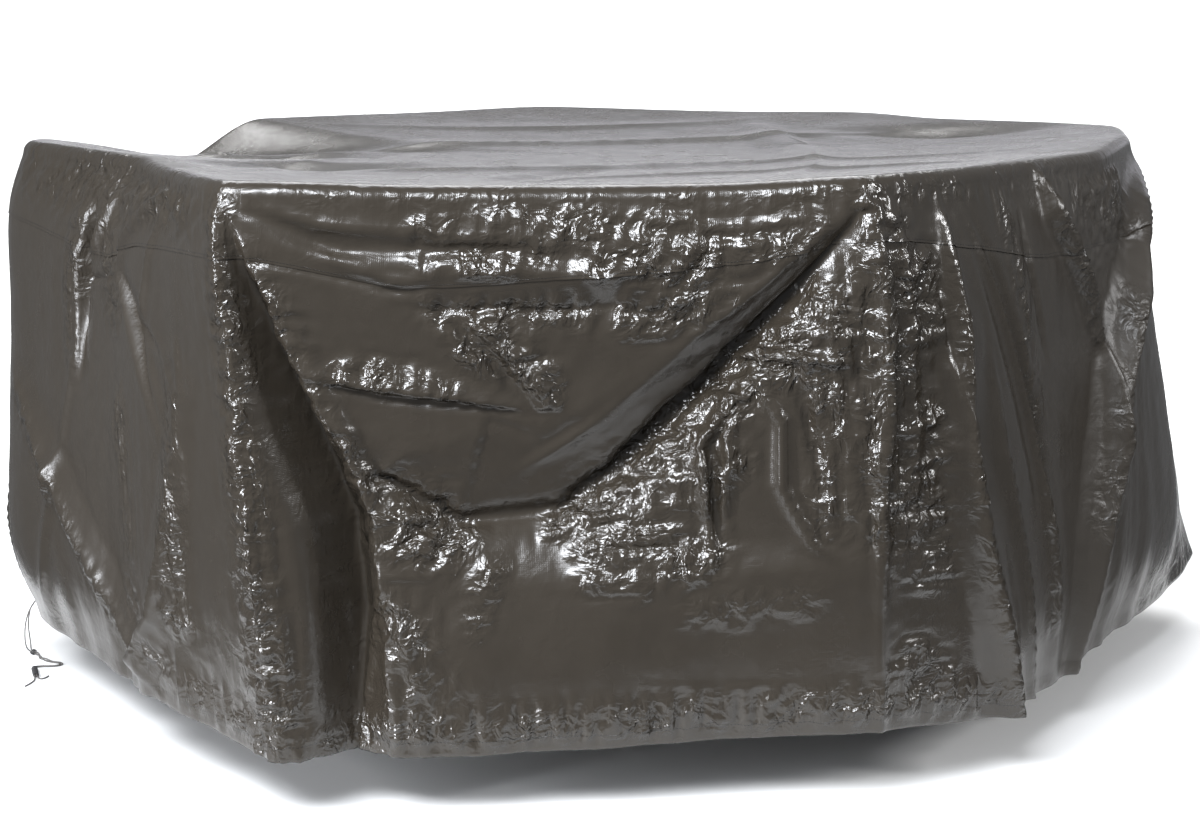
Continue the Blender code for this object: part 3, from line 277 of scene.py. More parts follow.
# ---- sharp creases of the side: columns as in SIDE_FOLDS
CREASES = {
    "post_streak_a": ((-28.9, -10, 12, 5, 2), (-28.9, 200, 14, 6, 6), (-28.7, 600, 16, 7, 8),
        (-28.2, 1000, 16, 8, 5)),
    "post_streak_b": ((-28.1, 50, 5, 7, 1), (-28, 300, 6, 8, 6), (-27.7, 650, 8, 9, 8),
        (-27.1, 1000, 9, 10, 5)),
    "post_streak_c": ((-27.2, 300, 5, 6, 0), (-26.6, 600, 7, 10, 6), (-25.9, 1000, 9, 12, 6)),
    "swag_crease": ((21.6, 30, 10, 8, 0), (16, 180, 30, 16, -9), (9.6, 330, 45, 22, -13),
        (1.6, 485, 55, 34, -13), (-3.8, 565, 40, 30, -10), (-12.6, 575, 34, 30, -9),
        (-18.6, 490, 20, 12, -4)),
    "swag_band": ((20.4, 20, 8, 8, 0), (13.2, 155, 16, 16, 5), (5.6, 290, 22, 20, 7), (-3, 430, 22, 20, 5),
        (-10, 515, 18, 18, 0)),
    "swag_hollow": ((14.5, 130, 12, 14, 0), (8, 250, 18, 18, -4), (-0.5, 385, 18, 18, -5),
        (-8, 470, 14, 14, 0)),
    "fan_a": ((-26.6, 15, 6, 6, 0), (-20.5, 50, 18, 10, 7), (-12, 62, 16, 10, 4), (-4, 70, 10, 10, 0)),
    "fan_b": ((-26.4, 20, 6, 6, 0), (-20.5, 88, 14, 16, -7), (-14, 85, 12, 14, -3), (1.8, 112, 10, 10, -3),
        (9, 125, 10, 10, 0)),
    "fan_c": ((-16.8, 60, 8, 8, 0), (-8.2, 82, 12, 12, -4), (2, 100, 12, 12, -4), (10, 98, 8, 8, 0)),
    "fan_d": ((-3, 20, 8, 8, 0), (4, 50, 14, 12, -4), (12, 70, 14, 12, -4), (17, 55, 8, 8, 0)),
    "node_left": ((-25.6, 105, 8, 10, 0), (-20.8, 130, 12, 12, -4), (-16.4, 158, 12, 10, -10),
        (-14, 160, 8, 8, 0)),
    "node_left_ridge": ((-25, 70, 8, 10, 0), (-20, 110, 14, 10, 6), (-16.2, 140, 12, 8, 8),
        (-13.5, 140, 8, 8, 0)),
    "stream": ((-14.5, 165, 10, 10, 0), (-11.4, 235, 14, 18, -7), (-7, 340, 14, 18, -6),
        (-4.8, 400, 10, 10, 0)),
    "stream_ridge": ((-12.8, 170, 10, 10, 0), (-9.6, 230, 16, 16, 8), (-5.4, 330, 16, 16, 7),
        (-3, 390, 10, 10, 0)),
    "lip_crease": ((-23.6, 312, 6, 8, 0), (-18, 344, 8, 12, -8), (-12.4, 358, 8, 12, -9),
        (-8.6, 372, 8, 12, -8), (-5.6, 380, 6, 8, 0)),
    "lip_shadow": ((-12, 375, 10, 10, 0), (-8.6, 395, 12, 18, -5), (-5.5, 430, 10, 14, 0)),
    "loop_left": ((14, 320, 8, 8, 0), (11.4, 375, 12, 14, 13), (9, 450, 12, 16, 18), (9.2, 560, 12, 16, 16),
        (9.8, 660, 10, 12, 0)),
    "loop_left_groove": ((11.6, 385, 6, 6, 0), (9.9, 440, 7, 7, -13), (9.9, 560, 7, 7, -12),
        (10.4, 640, 6, 6, 0)),
    "loop_inner": ((12.6, 360, 6, 8, 0), (11.2, 430, 9, 12, 13), (10.8, 560, 9, 12, 12),
        (11.6, 630, 8, 8, 0)),
    "loop_right": ((13.6, 330, 8, 10, 0), (15.2, 400, 12, 18, 14), (15.2, 520, 12, 24, 16),
        (17.2, 630, 12, 18, 10), (18.6, 670, 8, 8, 0)),
    "loop_dark": ((16, 310, 10, 10, 0), (17, 400, 18, 14, -12), (17.6, 500, 16, 14, -9),
        (18, 560, 10, 10, 0)),
    "across_line": ((10.5, 285, 8, 6, 0), (14, 288, 16, 7, 9), (18.5, 295, 16, 7, 9), (20.4, 305, 8, 6, 0)),
    "corner_line_a": ((-4.6, 575, 6, 6, 0), (-1, 618, 8, 8, 6), (3.4, 680, 6, 6, 0)),
    "corner_line_b": ((-4.8, 600, 6, 8, 0), (-1, 645, 6, 8, -6), (3, 700, 6, 6, 0)),
    "post_line_a": ((20, 70, 6, 6, 0), (19.7, 170, 8, 8, -8), (20.4, 300, 8, 8, -6), (21.3, 400, 8, 8, -9),
        (20.7, 520, 8, 8, -7), (21, 640, 8, 8, -6), (20.6, 720, 6, 6, 0)),
    "post_line_b": ((18.2, 130, 6, 6, 0), (18.8, 210, 8, 8, 7), (18.8, 310, 8, 8, 5), (19.8, 460, 8, 10, 8),
        (19.2, 640, 8, 8, 0)),
    "post_fold_a": ((22.3, 0, 8, 10, 0), (22.6, 150, 10, 12, 7), (22.8, 400, 12, 14, 8),
        (21.6, 680, 14, 14, 5), (21.8, 1000, 14, 14, 4)),
    "post_fold_b": ((23.4, 20, 8, 8, 0), (23.6, 120, 9, 9, -7), (24.4, 240, 10, 10, -7),
        (23.8, 360, 10, 11, -8), (24.2, 500, 10, 11, -6), (22.9, 660, 10, 12, -4), (22.6, 800, 8, 8, 0)),
    "post_fold_c": ((25, 20, 8, 10, 0), (25.6, 200, 12, 14, 7), (25.4, 460, 12, 14, 6), (25, 640, 10, 10, 0)),
    "post_fold_d": ((26.4, 60, 8, 8, 0), (26.8, 240, 10, 10, -5), (27, 460, 10, 10, -4),
        (26.8, 600, 8, 8, 0)),
    "side_ridge": ((30.8, 20, 14, 16, 0), (31.8, 250, 22, 30, 17), (30.8, 470, 22, 41, 22),
        (32.4, 640, 19, 46, 24), (35.2, 850, 22, 46, 22), (36.8, 1000, 22, 41, 17)),
    "side_line_a": ((33.8, 30, 11, 14, 0), (38, 200, 19, 24, 15), (42.8, 450, 19, 30, 18),
        (45.6, 660, 19, 30, 15), (48.5, 950, 14, 19, 0)),
    "side_line_b": ((27.8, 120, 11, 14, 0), (30, 340, 16, 22, 12), (31.4, 520, 14, 16, 6),
        (33, 750, 11, 11, 0)),
    "side_dark_line": ((44, 50, 8, 8, 0), (44.6, 140, 11, 14, -9), (46, 260, 11, 14, -7), (47, 360, 8, 8, 0)),
    "corner_ridge": ((49.5, -20, 14, 14, 6), (50.6, 70, 22, 30, 21), (56, 210, 19, 32, 21),
        (61, 360, 16, 27, 12), (60, 600, 16, 32, 15), (56, 950, 16, 32, 12)),
    "right_streak": ((95, 20, 22, 22, 0), (80, 100, 43, 32, 24), (72, 180, 47, 32, 27), (66, 300, 47, 36, 27),
        (62, 420, 43, 36, 24), (57.5, 700, 36, 36, 18), (53.5, 1000, 32, 32, 12)),
    "slit_down": ((-60.8, 60, 10, 5, 0), (-61.2, 110, 26, 6, -12), (-62, 170, 32, 6, -18),
        (-62.2, 270, 26, 6, -12), (-62.2, 340, 10, 5, 0)),
    "slit_across": ((-62, 215, 6, 6, -8), (-57.5, 205, 7, 7, -12), (-54.5, 205, 5, 5, 0)),
    "left_shadow": ((-49.8, 180, 14, 14, 0), (-47.8, 230, 30, 19, -19), (-44.8, 300, 30, 19, -19),
        (-41.5, 400, 19, 16, -6), (-39.5, 460, 14, 14, 0)),
    "left_shadow_fork": ((-46.5, 260, 14, 11, 0), (-42.6, 280, 19, 14, -18), (-39, 310, 11, 11, 0)),
    "left_crease": ((-36.5, 0, 11, 14, 0), (-43, 50, 22, 30, 11), (-48.5, 120, 22, 30, 13),
        (-51, 190, 14, 16, 0)),
    "left_line": ((-80, 420, 16, 16, 0), (-70.2, 590, 27, 38, 7), (-60, 760, 24, 35, 7),
        (-49, 920, 22, 30, 6), (-44, 990, 16, 19, 2)),
    "left_line_low": ((-51.5, 990, 16, 19, 9), (-43, 820, 16, 24, 12), (-40.6, 700, 14, 19, 7),
        (-37.5, 500, 11, 11, 0)),
    "tuck_fold_a": ((-18.4, 650, 12, 12, 0), (-19.6, 740, 18, 12, 10), (-21.4, 900, 18, 14, 6)),
    "tuck_fold_b": ((-18.2, 655, 10, 14, 0), (-16.8, 760, 14, 18, 8), (-15, 890, 14, 18, 0)),
    "side_line_c": ((36, 300, 11, 14, 0), (37, 500, 14, 30, 12), (40, 750, 16, 30, 15),
        (42.5, 1000, 16, 27, 9)),
    "left_crease_b": ((-38, 20, 11, 11, 0), (-41, 120, 16, 22, 7), (-42.6, 220, 14, 19, 6),
        (-41.5, 300, 11, 11, 0)),
    "left_crease_c": ((-58, -20, 14, 14, 0), (-56, 60, 22, 27, 11), (-58, 140, 19, 22, 11),
        (-60, 200, 11, 11, 0)),
    "left_gather_a": ((-62.5, 300, 14, 14, 0), (-66, 550, 25, 36, 8), (-73, 850, 22, 29, 10),
        (-77, 970, 14, 14, 0)),
    "left_gather_b": ((-88, 550, 18, 18, 0), (-84, 800, 25, 29, 15), (-80, 970, 18, 18, 0)),
    "belt_a": ((2, 880, 10, 10, 0), (12, 900, 12, 12, 3), (21, 890, 10, 10, 0)),
}

# ---- where the film is crinkled: the patches of each way to lie, with a row for each point along a patch
# azimuth; then in thousandths: share of the drop, reach on the left and right in metres, and strength
# "soft" patches have low swells with no wrinkles, and "calm" ones take wrinkles away
CRINKLES = {
    "down": {
        "post_streak": ((-28.2, 0, 18, 18, 800), (-28.3, 300, 26, 29, 1100), (-28, 600, 34, 34, 1100),
            (-27, 1000, 52, 47, 1100)),
        "post_foot": ((-25.5, 550, 30, 20, 0), (-24.8, 850, 50, 40, 800), (-23, 1000, 60, 60, 900)),
        "lip_edge": ((-22.4, 380, 20, 25, 1000), (-21, 480, 25, 37, 1200), (-20.4, 620, 25, 37, 1000)),
        "low_left_side": ((-18, 760, 50, 50, 1100), (-16.6, 920, 60, 50, 800)),
        "stream_c": ((-8.4, 185, 14, 20, 1000), (-2, 195, 20, 22, 1200)),
        "patch_mid": ((8.6, 530, 30, 24, 1600), (11, 470, 28, 28, 1600)),
        "patch_foot": ((9, 640, 30, 26, 1400), (5.6, 670, 24, 22, 1100)),
        "post_right": ((22.6, 0, 24, 30, 900), (23.2, 150, 36, 40, 1400), (22.4, 400, 50, 40, 1400),
            (22, 620, 36, 30, 1300), (22, 720, 20, 20, 300)),
        "hem_line": ((-40, 955, 30, 18, 800), (-14, 955, 30, 18, 1300), (0, 955, 30, 18, 1300),
            (14, 955, 30, 18, 1300), (36, 955, 30, 18, 900)),
        "rim": ((-32, 0, 30, 16, 300), (-2, 0, 30, 16, 300), (26, 0, 30, 18, 600), (60, 0, 30, 18, 500)),
        "patch_right": ((18.4, 200, 26, 30, 1400), (18.6, 340, 20, 26, 1400), (18.9, 460, 16, 26, 1300),
            (18.6, 600, 24, 26, 1200)),
        "pleat_side": ((-63.5, 100, 30, 16, 900), (-64.5, 240, 34, 20, 1000), (-64.5, 380, 24, 16, 600)),
        "left_middle": ((-50, 450, 34, 34, 800), (-49, 700, 30, 30, 600)),
        "corner_rows": ((49.8, 20, 12, 12, 800), (51.5, 100, 14, 16, 900), (56, 210, 14, 18, 900),
            (59, 340, 12, 14, 600)),
        "side_rows": ((31, 60, 8, 10, 700), (31.6, 300, 10, 14, 800), (31.6, 550, 10, 16, 800),
            (34.6, 820, 10, 16, 700), (36.6, 1000, 12, 16, 700)),
        "panel_rows": ((41, 50, 18, 18, 700), (43, 250, 18, 20, 800), (44.5, 500, 18, 20, 700),
            (47, 850, 22, 24, 800)),
        "left_face": ((-36.5, 300, 14, 20, 600), (-38, 500, 20, 26, 800), (-39, 800, 26, 30, 1000)),
        "right_edge": ((66, 280, 24, 30, 900), (58, 700, 30, 36, 800)),
    },
    "rise": {
        "low_left": ((-20, 500, 30, 30, 1200), (-17, 560, 55, 50, 1600), (-14, 610, 40, 34, 1500)),
        "fan_band": ((-14, 60, 24, 24, 900), (-9, 70, 30, 30, 1200), (-4.6, 75, 26, 26, 700)),
        "fan_mid": ((0.5, 100, 30, 30, 1100), (6.5, 115, 36, 36, 1200), (13.5, 90, 30, 30, 1000),
            (18.5, 50, 20, 24, 600)),
        "stream_c": ((3, 205, 24, 26, 1400), (7.5, 190, 24, 26, 1300), (11, 170, 20, 22, 800)),
        "lip_patch": ((-23, 300, 14, 14, 800), (-18.6, 300, 18, 22, 1300), (-15.4, 315, 16, 22, 1400),
            (-13, 335, 14, 14, 1200)),
        "patch_edge": ((4.5, 500, 40, 45, 1600), (9, 420, 40, 40, 1500), (13, 320, 40, 40, 1600)),
        "post_side": ((26.6, 160, 36, 36, 1600), (27.4, 240, 32, 32, 1400)),
        "post_low": ((25.2, 880, 34, 34, 1200), (28, 950, 40, 30, 1200)),
        "facet_edge": ((-14.5, 105, 20, 16, 900), (-8, 106, 26, 18, 1300)),
        "left_top_all": ((-75, 0, 60, 50, 900), (-55, 0, 60, 60, 1100), (-34, 0, 50, 50, 900)),
        "left_middle": ((-56, 100, 30, 40, 800), (-52, 240, 36, 40, 900)),
        "left_top": ((-58, 30, 50, 40, 1100), (-46, 30, 50, 30, 1000)),
    },
    "fall": {
        "lip_edge": ((-26.6, 90, 15, 15, 600), (-24.8, 200, 20, 30, 1100), (-23, 350, 20, 33, 1100)),
        "fan_top": ((-9.5, 20, 18, 14, 900), (0.5, 55, 30, 22, 1000), (7, 65, 30, 26, 800)),
        "stream_a": ((-13.6, 185, 12, 18, 1000), (-11.6, 250, 20, 22, 1300), (-9.6, 300, 18, 20, 1000)),
        "stream_b": ((-10.6, 195, 20, 24, 1300), (-7.4, 250, 24, 36, 1400), (-4.6, 330, 20, 24, 1400)),
        "knee_line": ((8, 750, 24, 24, 600), (16, 740, 30, 24, 500)),
        "knee_spots": ((-9.8, 660, 18, 18, 1100), (-11, 760, 20, 20, 600)),
        "facet_edge": ((0, 108, 26, 20, 1300), (5, 100, 24, 20, 800)),
        "post_corner": ((23.6, 60, 30, 40, 1100), (26.2, 260, 36, 36, 1200)),
        "left_slant": ((-77, 500, 20, 26, 800), (-62, 760, 24, 34, 1000), (-51, 920, 24, 30, 900)),
        "left_foot": ((-50, 800, 30, 30, 600), (-44, 920, 36, 30, 800)),
        "right_edge": ((60, 60, 50, 50, 700), (72, 80, 60, 50, 1000)),
    },
    "across": {
        "patch_edge": ((-4.2, 585, 20, 20, 1200), (0, 550, 36, 36, 1500), (17, 250, 40, 40, 1600)),
        "patch_mid": ((0, 630, 36, 30, 1100), (4.5, 600, 40, 40, 1300)),
        "post_side": ((26.4, 420, 32, 36, 1400), (26, 540, 36, 36, 1100), (27, 680, 40, 40, 800)),
        "knee_line": ((-1, 685, 20, 18, 1000), (3.4, 700, 24, 18, 1000)),
        "post_streak_x": ((-28.4, 0, 10, 10, 600), (-28.4, 300, 12, 14, 1000), (-28, 600, 14, 18, 1000),
            (-27.2, 1000, 20, 20, 1000)),
        "patch_top": ((13.6, 270, 24, 24, 1500), (18.4, 265, 30, 30, 1600)),
    },
    "soft": {
        "right_side": ((60, 100, 200, 200, 1000), (70, 500, 200, 200, 1000), (60, 900, 200, 200, 1000)),
        "left_side": ((-50, 100, 150, 200, 700), (-55, 500, 150, 200, 700), (-50, 900, 150, 200, 700)),
    },
    "calm": {
        "calm_wedge": ((-27.2, 100, 4, 4, 1000), (-26.5, 250, 10, 10, 1000), (-25.6, 420, 16, 16, 1000),
            (-24.4, 580, 24, 24, 1000), (-24, 740, 26, 26, 1000), (-24, 930, 24, 24, 800)),
        "calm_swag": ((17.2, 120, 6, 6, 900), (11.7, 220, 12, 12, 900), (5.2, 350, 17, 17, 900),
            (-2, 460, 18, 18, 900), (-9, 500, 16, 16, 900)),
    },
}
LIES = {
    # how the wrinkles lie: turn from the vertical in degrees, then width and length of one in metres
    "down": (0, (0.013, 0.050)),
    "rise": (45, (0.014, 0.036)),
    "fall": (-45, (0.014, 0.036)),
    "across": (80, (0.013, 0.036)),
}
ALL_OVER = ("rise", "across")     # the faint crinkles all over
TOP_CRINKLE = 0.06        # their strength on the top
SIDE_CRINKLE = 0.10       # and on the side
RIM_ROWS = 12             # rows over the rim in which the crinkles fade out
PATCH_REACH = 2.0         # times the reach in the table, where a patch has faded out

# ---- the crinkles of the back: its middle and how far its patches go from there and fade, in degrees;
# their strength, size round and down the side, and how much of the noise makes no patch
BACK_MIDDLE, BACK_REACH, BACK_FADE = 178, 98, 20
BACK_CRINKLE, BACK_PATCH, BACK_CONTRAST, BACK_BARE = 0.6, (0.34, 0.24), 2.4, 0.3

# ---- random seeds of the noises, and the size of their tables
SEEDS = {"swell": 31, "wide": 41, "fine": 45, "patch": 1, "back": 61, "winding": 77}
PATCH_SEEDS = 10          # between the seeds of one way to lie and the next
NOISE_TABLE = 256

# ---- how the film crumples
CRUMPLE_SHIFT, CRUMPLE_SLOWER = 0.35, 0.9     # how far a slower noise shifts the crumples
CRUMPLE_FINER, CRUMPLE_LOWER = 1.9, 0.5       # each finer set of crumples against the last
SEED_HEIGHT = 0.0035      # height of the first crumples, before the film settles
SEED_AGAIN = 0.35         # share of it that is laid on once more before the fine rounds
RIM_CALM, RIM_SHARE = 0.03, 0.3   # metres below the rim where they are lower, and the least share of them
SWELL, SWELL_SIZE = 0.9, (0.050, 0.220)   # swells of the soft patches: height, size round and down
WIDE, WIDE_SIZE = 0.35, 0.160     # crumples all over, wide and fine: height, size
FINE, FINE_SIZE = 0.10, 0.05
CRUMPLE_SIZE = 2.6        # size of a patch's crumples, in wrinkles
SPARE = 0.07              # spare cloth in a crinkled patch, as a share of its length
SPARE_ALL_OVER = 0.07     # share of that spare cloth that the smooth places have
SPARE_SLANTED = 0.7       # share of it for patches whose wrinkles slant
SPARE_EITHER_WAY = 0.3    # share of it that any patch has both round and down
SPARE_SOFT = (0.2, 0.1)   # share of it in the soft patches, round and down
FINE_SPARE = 1.1          # the fine rounds have this many times the spare cloth
COARSE_ROUNDS, FINE_ROUNDS = 60, 30
SLANT_PULL = 0.35         # stiffness along the grid's diagonals, where its lines have 1
BENDING = 0.03            # how strongly a sharp bend is smoothed in each round
HOLD_SIDE, HOLD_TOP = 0.01, 0.15      # how strongly the draped form draws the film back in each round

# ---- the film: scale and detail of its noises, heights of its bumps in metres, and shares
CLOUD, FINE_CLOUD = (3.2, 4.0), (38.0, 3.0)
WORN = 0.35               # share of the worn colour where the fine cloud is full
ROUGH_LEAST, ROUGH_MORE, ROUGH_CLOUD = 0.19, 0.14, (16.0, 3.0)
ROUGH_SOFT, ROUGH_CRINKLED = 0.22, 0.05   # rougher in a soft patch, glossier on crinkles
CRINKLE_LIMIT = 1.2       # strength above which a patch looks no stronger
WEAVE, WEAVE_HEIGHT = 118.0, 0.00006
LONG_FOLDS, LONG_TURN, LONG_DETAIL, LONG_HEIGHT = (13.0, 5.0, 1.0), 0.2, 3.0, 0.0026
CLUMPS, CLUMP_FROM, CLUMP_CONTRAST, CLUMP_RANGE = (13.0, 2.0), 0.30, 4.5, (0.4, 1.1)
WRINKLE_HEIGHT, WRINKLE_DETAIL, WRINKLE_BEND = 0.0020, 2.0, 0.8
SWAY, SWAY_REACH = 22.0, 0.05     # how the facets' grid wanders
FACETS = ((44.0, 0.0028), (98.0, 0.0013))     # scale and height, wide and fine
THREAD_HEIGHT = 0.0006
BRAID_SLANT = 4 * math.tau        # how far its ribs turn round the cord along it
BRAID_ROUGH, BRAID_FUZZ, BRAID_HEIGHT, FUZZ = 0.55, 0.3, 0.00025, (900.0, 2.0)

STATION = {
    column: np.array([row[1 + i] for row in STATIONS], float) for i, column in enumerate(STATION_COLUMNS)
}


# ---- curves through the tables' rows
def round_curve(azimuth, places, values):
    """A curve through the values at these azimuths that closes on itself and never overshoots a row."""
    order = np.argsort(places % 360)
    x, y = places[order] % 360, values[order]
    x = np.concatenate([x[-2:] - 360, x, x[:3] + 360])
    y = np.concatenate([y[-2:], y, y[:3]])
    width = np.diff(x)
    rise = np.diff(y) / width
    before, after = 2 * width[1:] + width[:-1], width[1:] + 2 * width[:-1]
    same_way = rise[:-1] * rise[1:] > 0
    safe = np.where(same_way, rise[:-1] * rise[1:], 1.0)
    slope = np.zeros(len(x))
    mean = (before + after) * safe / (before * rise[1:] + after * rise[:-1] + (~same_way))
    slope[1:-1] = np.where(same_way, mean, 0.0)
    at = azimuth % 360
    at = np.where(at < x[2], at + 360, at)
    i = np.clip(np.searchsorted(x, at, side="right") - 1, 0, len(x) - 2)
    return hermite((at - x[i]) / width[i], width[i], y[i], y[i + 1], slope[i], slope[i + 1])


def hermite(t, width, start, end, start_slope, end_slope):
    """The cubic with these ends and slopes, at the share t of its width."""
    return (
        (1 + 2 * t) * (1 - t) ** 2 * start
        + t * (1 - t) ** 2 * width * start_slope
        + t * t * (3 - 2 * t) * end
        + t * t * (t - 1) * width * end_slope
    )


def down_curve(share, places, values):
    """A smooth curve down the side through the radii at the levels; each value is an array of its own."""
    slopes = [(values[1] - values[0]) / (places[1] - places[0])]
    for k in range(1, len(places) - 1):
        slopes.append((values[k + 1] - values[k - 1]) / (places[k + 1] - places[k - 1]))
    slopes.append((values[-1] - values[-2]) / (places[-1] - places[-2]))
    result = np.zeros_like(share)
    for k in range(len(places) - 1):
        inside = (share >= places[k]) | (k == 0)
        width = places[k + 1] - places[k]
        ends = values[k], values[k + 1], slopes[k], slopes[k + 1]
        result = np.where(inside, hermite((share - places[k]) / width, width, *ends), result)
    return result


def station_curve(column, azimuth):
    return round_curve(azimuth, STATION["az_rim"], STATION[column])


def chord_radius(column, azimuth):
    """The radius on the straight line, in plan, between the two stations on either side."""
    order = np.argsort(STATION["az_rim"] % 360)
    x, y = STATION["az_rim"][order] % 360, STATION[column][order]
    x, y = np.append(x, x[0] + 360), np.append(y, y[0])
    at = (azimuth - x[0]) % 360 + x[0]
    i = np.clip(np.searchsorted(x, at, side="right") - 1, 0, len(x) - 2)
    past, left = np.radians(at - x[i]), np.radians(x[i + 1] - at)
    return y[i] * y[i + 1] * np.sin(past + left) / (y[i] * np.sin(past) + y[i + 1] * np.sin(left))


def stretched_radius(column, azimuth):
    """The cloth drawn straight from post to post, and rounded over each of them."""
    total = 0
    for step, weight in POST_WEIGHTS:
        total = total + weight * chord_radius(column, azimuth + step * POST_BEND)
    return total / sum(weight for _, weight in POST_WEIGHTS)


# ---- folds
def fold_lift(rows, across, down):
    """How far a fold lifts the cloth at these places; a row is (across, down, left, right, lift, crease)."""
    nearest = np.full(across.shape, np.inf)
    lift = np.zeros(across.shape)
    for start, end in zip(rows[:-1], rows[1:]):
        run = (end[0] - start[0], end[1] - start[1])
        off = (across - start[0], down - start[1])
        share = np.clip((off[0] * run[0] + off[1] * run[1]) / (run[0] ** 2 + run[1] ** 2), 0, 1)
        away = np.hypot(off[0] - share * run[0], off[1] - share * run[1])
        on_right = run[0] * off[1] - run[1] * off[0] > 0
        left, right, height, crease = (start[k] + share * (end[k] - start[k]) for k in (2, 3, 4, 5))
        x = np.clip(away / np.where(on_right, right, left), 0, 1)
        soft, sharp = (1 - x * x) ** 2, (1 - x) ** SHARPNESS
        here = height * (soft + crease * (sharp - soft))
        lift = np.where(away < nearest, here, lift)
        nearest = np.minimum(nearest, away)
    return lift


def side_fold(fold, azimuth, share, sharp=1, reach=1.0):
    """How far a fold of the side lifts the cloth here, or how strong a patch of crinkles is."""
    first = fold[0][0]
    turn = (azimuth - first + 180) % 360 - 180
    rows = []
    for at, *row in fold:
        down, left, right, lift = (value / 1000 for value in row[:4])
        place = ((at - first) * ARC_PER_DEGREE, down * DROP)
        rows.append((*place, left * reach, right * reach, lift, *(row[4:] or [sharp])))
    return fold_lift(rows, turn * ARC_PER_DEGREE, share * DROP)


def side_lift(azimuth, share):
    """All the side's folds and the hem's gathers, at these azimuths of the rim and shares of the drop."""
    total = sum(side_fold(fold, azimuth, share) for fold in SIDE_FOLDS.values())
    for count, start, depth in HEM_WAVES:
        total += depth * share**2 * np.sin(np.radians(count * azimuth + start))
    band = np.clip((share - 1) * DROP / HEM_BAND + 1, 0, 1)
    return total + HEM_SWELL * np.sin(math.pi * band / 2)


def crinkle_masks(azimuth, share):
    """For each way to lie, how strong the crinkles are at these places."""
    masks = {}
    for lie, patches in CRINKLES.items():
        masks[lie] = np.zeros(azimuth.shape)
        for patch in patches.values():
            masks[lie] = np.maximum(masks[lie], side_fold(patch, azimuth, share, 0, PATCH_REACH))
    calm = 1 - np.clip(masks.pop("calm"), 0, 1)
    return {lie: mask * calm for lie, mask in masks.items()}


# ---- the surface
def on_plan(azimuth, radius, height):
    """Points in the part's own frame."""
    turn = np.radians(azimuth)
    return np.stack([radius * np.sin(turn), -radius * np.cos(turn), height - CROWN], axis=-1)


def side_points(azimuth, share):
    """The outer face of the side: azimuth at the rim, and share of the drop from the rim to the hem."""
    azimuth, share = np.broadcast_arrays(np.asarray(azimuth, float), np.asarray(share, float))
    lean = (STATION["az_hem"] - STATION["az_rim"] + 180) % 360 - 180
    turned = azimuth + round_curve(azimuth, STATION["az_rim"], lean) * share
    radii = [stretched_radius(level, azimuth) for level, _ in LEVELS]
    radius = down_curve(share, [at for _, at in LEVELS], radii) + side_lift(azimuth, share)
    top, bottom = station_curve("rim_z", azimuth), station_curve("hem_z", azimuth)
    top = top - SHOULDER
    return on_plan(turned, radius, top + (bottom - top) * share)


def rim_radius(azimuth):
    return stretched_radius("rim", azimuth) + side_lift(azimuth, np.zeros(azimuth.shape))


def shoulder_points(azimuth, angle):
    """The rounded edge: 0 degrees at the side, 90 at the top."""
    bend = math.radians(angle)
    radius = rim_radius(azimuth) - SHOULDER * (1 - math.cos(bend))
    return on_plan(azimuth, radius, station_curve("rim_z", azimuth) - SHOULDER * (1 - math.sin(bend)))


def top_points(azimuth, share):
    """The outer face of the top, from its middle at share 0 to the shoulder at share 1."""
    radius = (rim_radius(azimuth) - SHOULDER) * share
    rise = (station_curve("rim_z", azimuth) - CROWN - SHEET) * share**TOP_SAG
    points = on_plan(azimuth, radius, CROWN + SHEET + rise)
    fade = min(1.0, TOP_FADE[1] * (1 - share)) * min(1.0, TOP_FADE[0] * share)
    for fold in TOP_FOLDS.values():
        rows = [(*(value / 1000 for value in row[:5]), *(row[5:] or [1])) for row in fold]
        points[..., 2] += fade * fold_lift(rows, points[..., 0], points[..., 1])
    return points


def smooth_cover(around):
    """The cover's outer face as one grid, from the hem up to the middle of the top, and the side's shares."""
    seam = station_curve("seam_at", around)
    up = np.linspace(0, 1, SKIRT_STEPS + 1)[:, None]
    band = np.linspace(1, 0, BAND_STEPS + 1)[1:, None]
    share = np.concatenate([1 + (seam - 1) * up, seam * band])
    azimuth = np.broadcast_to(around, share.shape)
    side = side_points(azimuth, share)
    shoulder = [shoulder_points(around, 90 * k / SHOULDER_STEPS) for k in range(1, SHOULDER_STEPS)]
    outer = np.linspace(1, TOP_CHANGE, TOP_OUTER_RINGS)
    inner = np.linspace(TOP_CHANGE, TOP_LAST, TOP_INNER_RINGS)[1:]
    top = [top_points(around, ring) for ring in (*outer, *inner)]
    return np.concatenate([side, np.stack(shoulder + top)]), azimuth, share


def normals_of(points):
    along = np.roll(points, -1, axis=1) - np.roll(points, 1, axis=1)
    normal = np.cross(along, np.gradient(points, axis=0))
    return normal / (np.linalg.norm(normal, axis=-1, keepdims=True) + 1e-12)


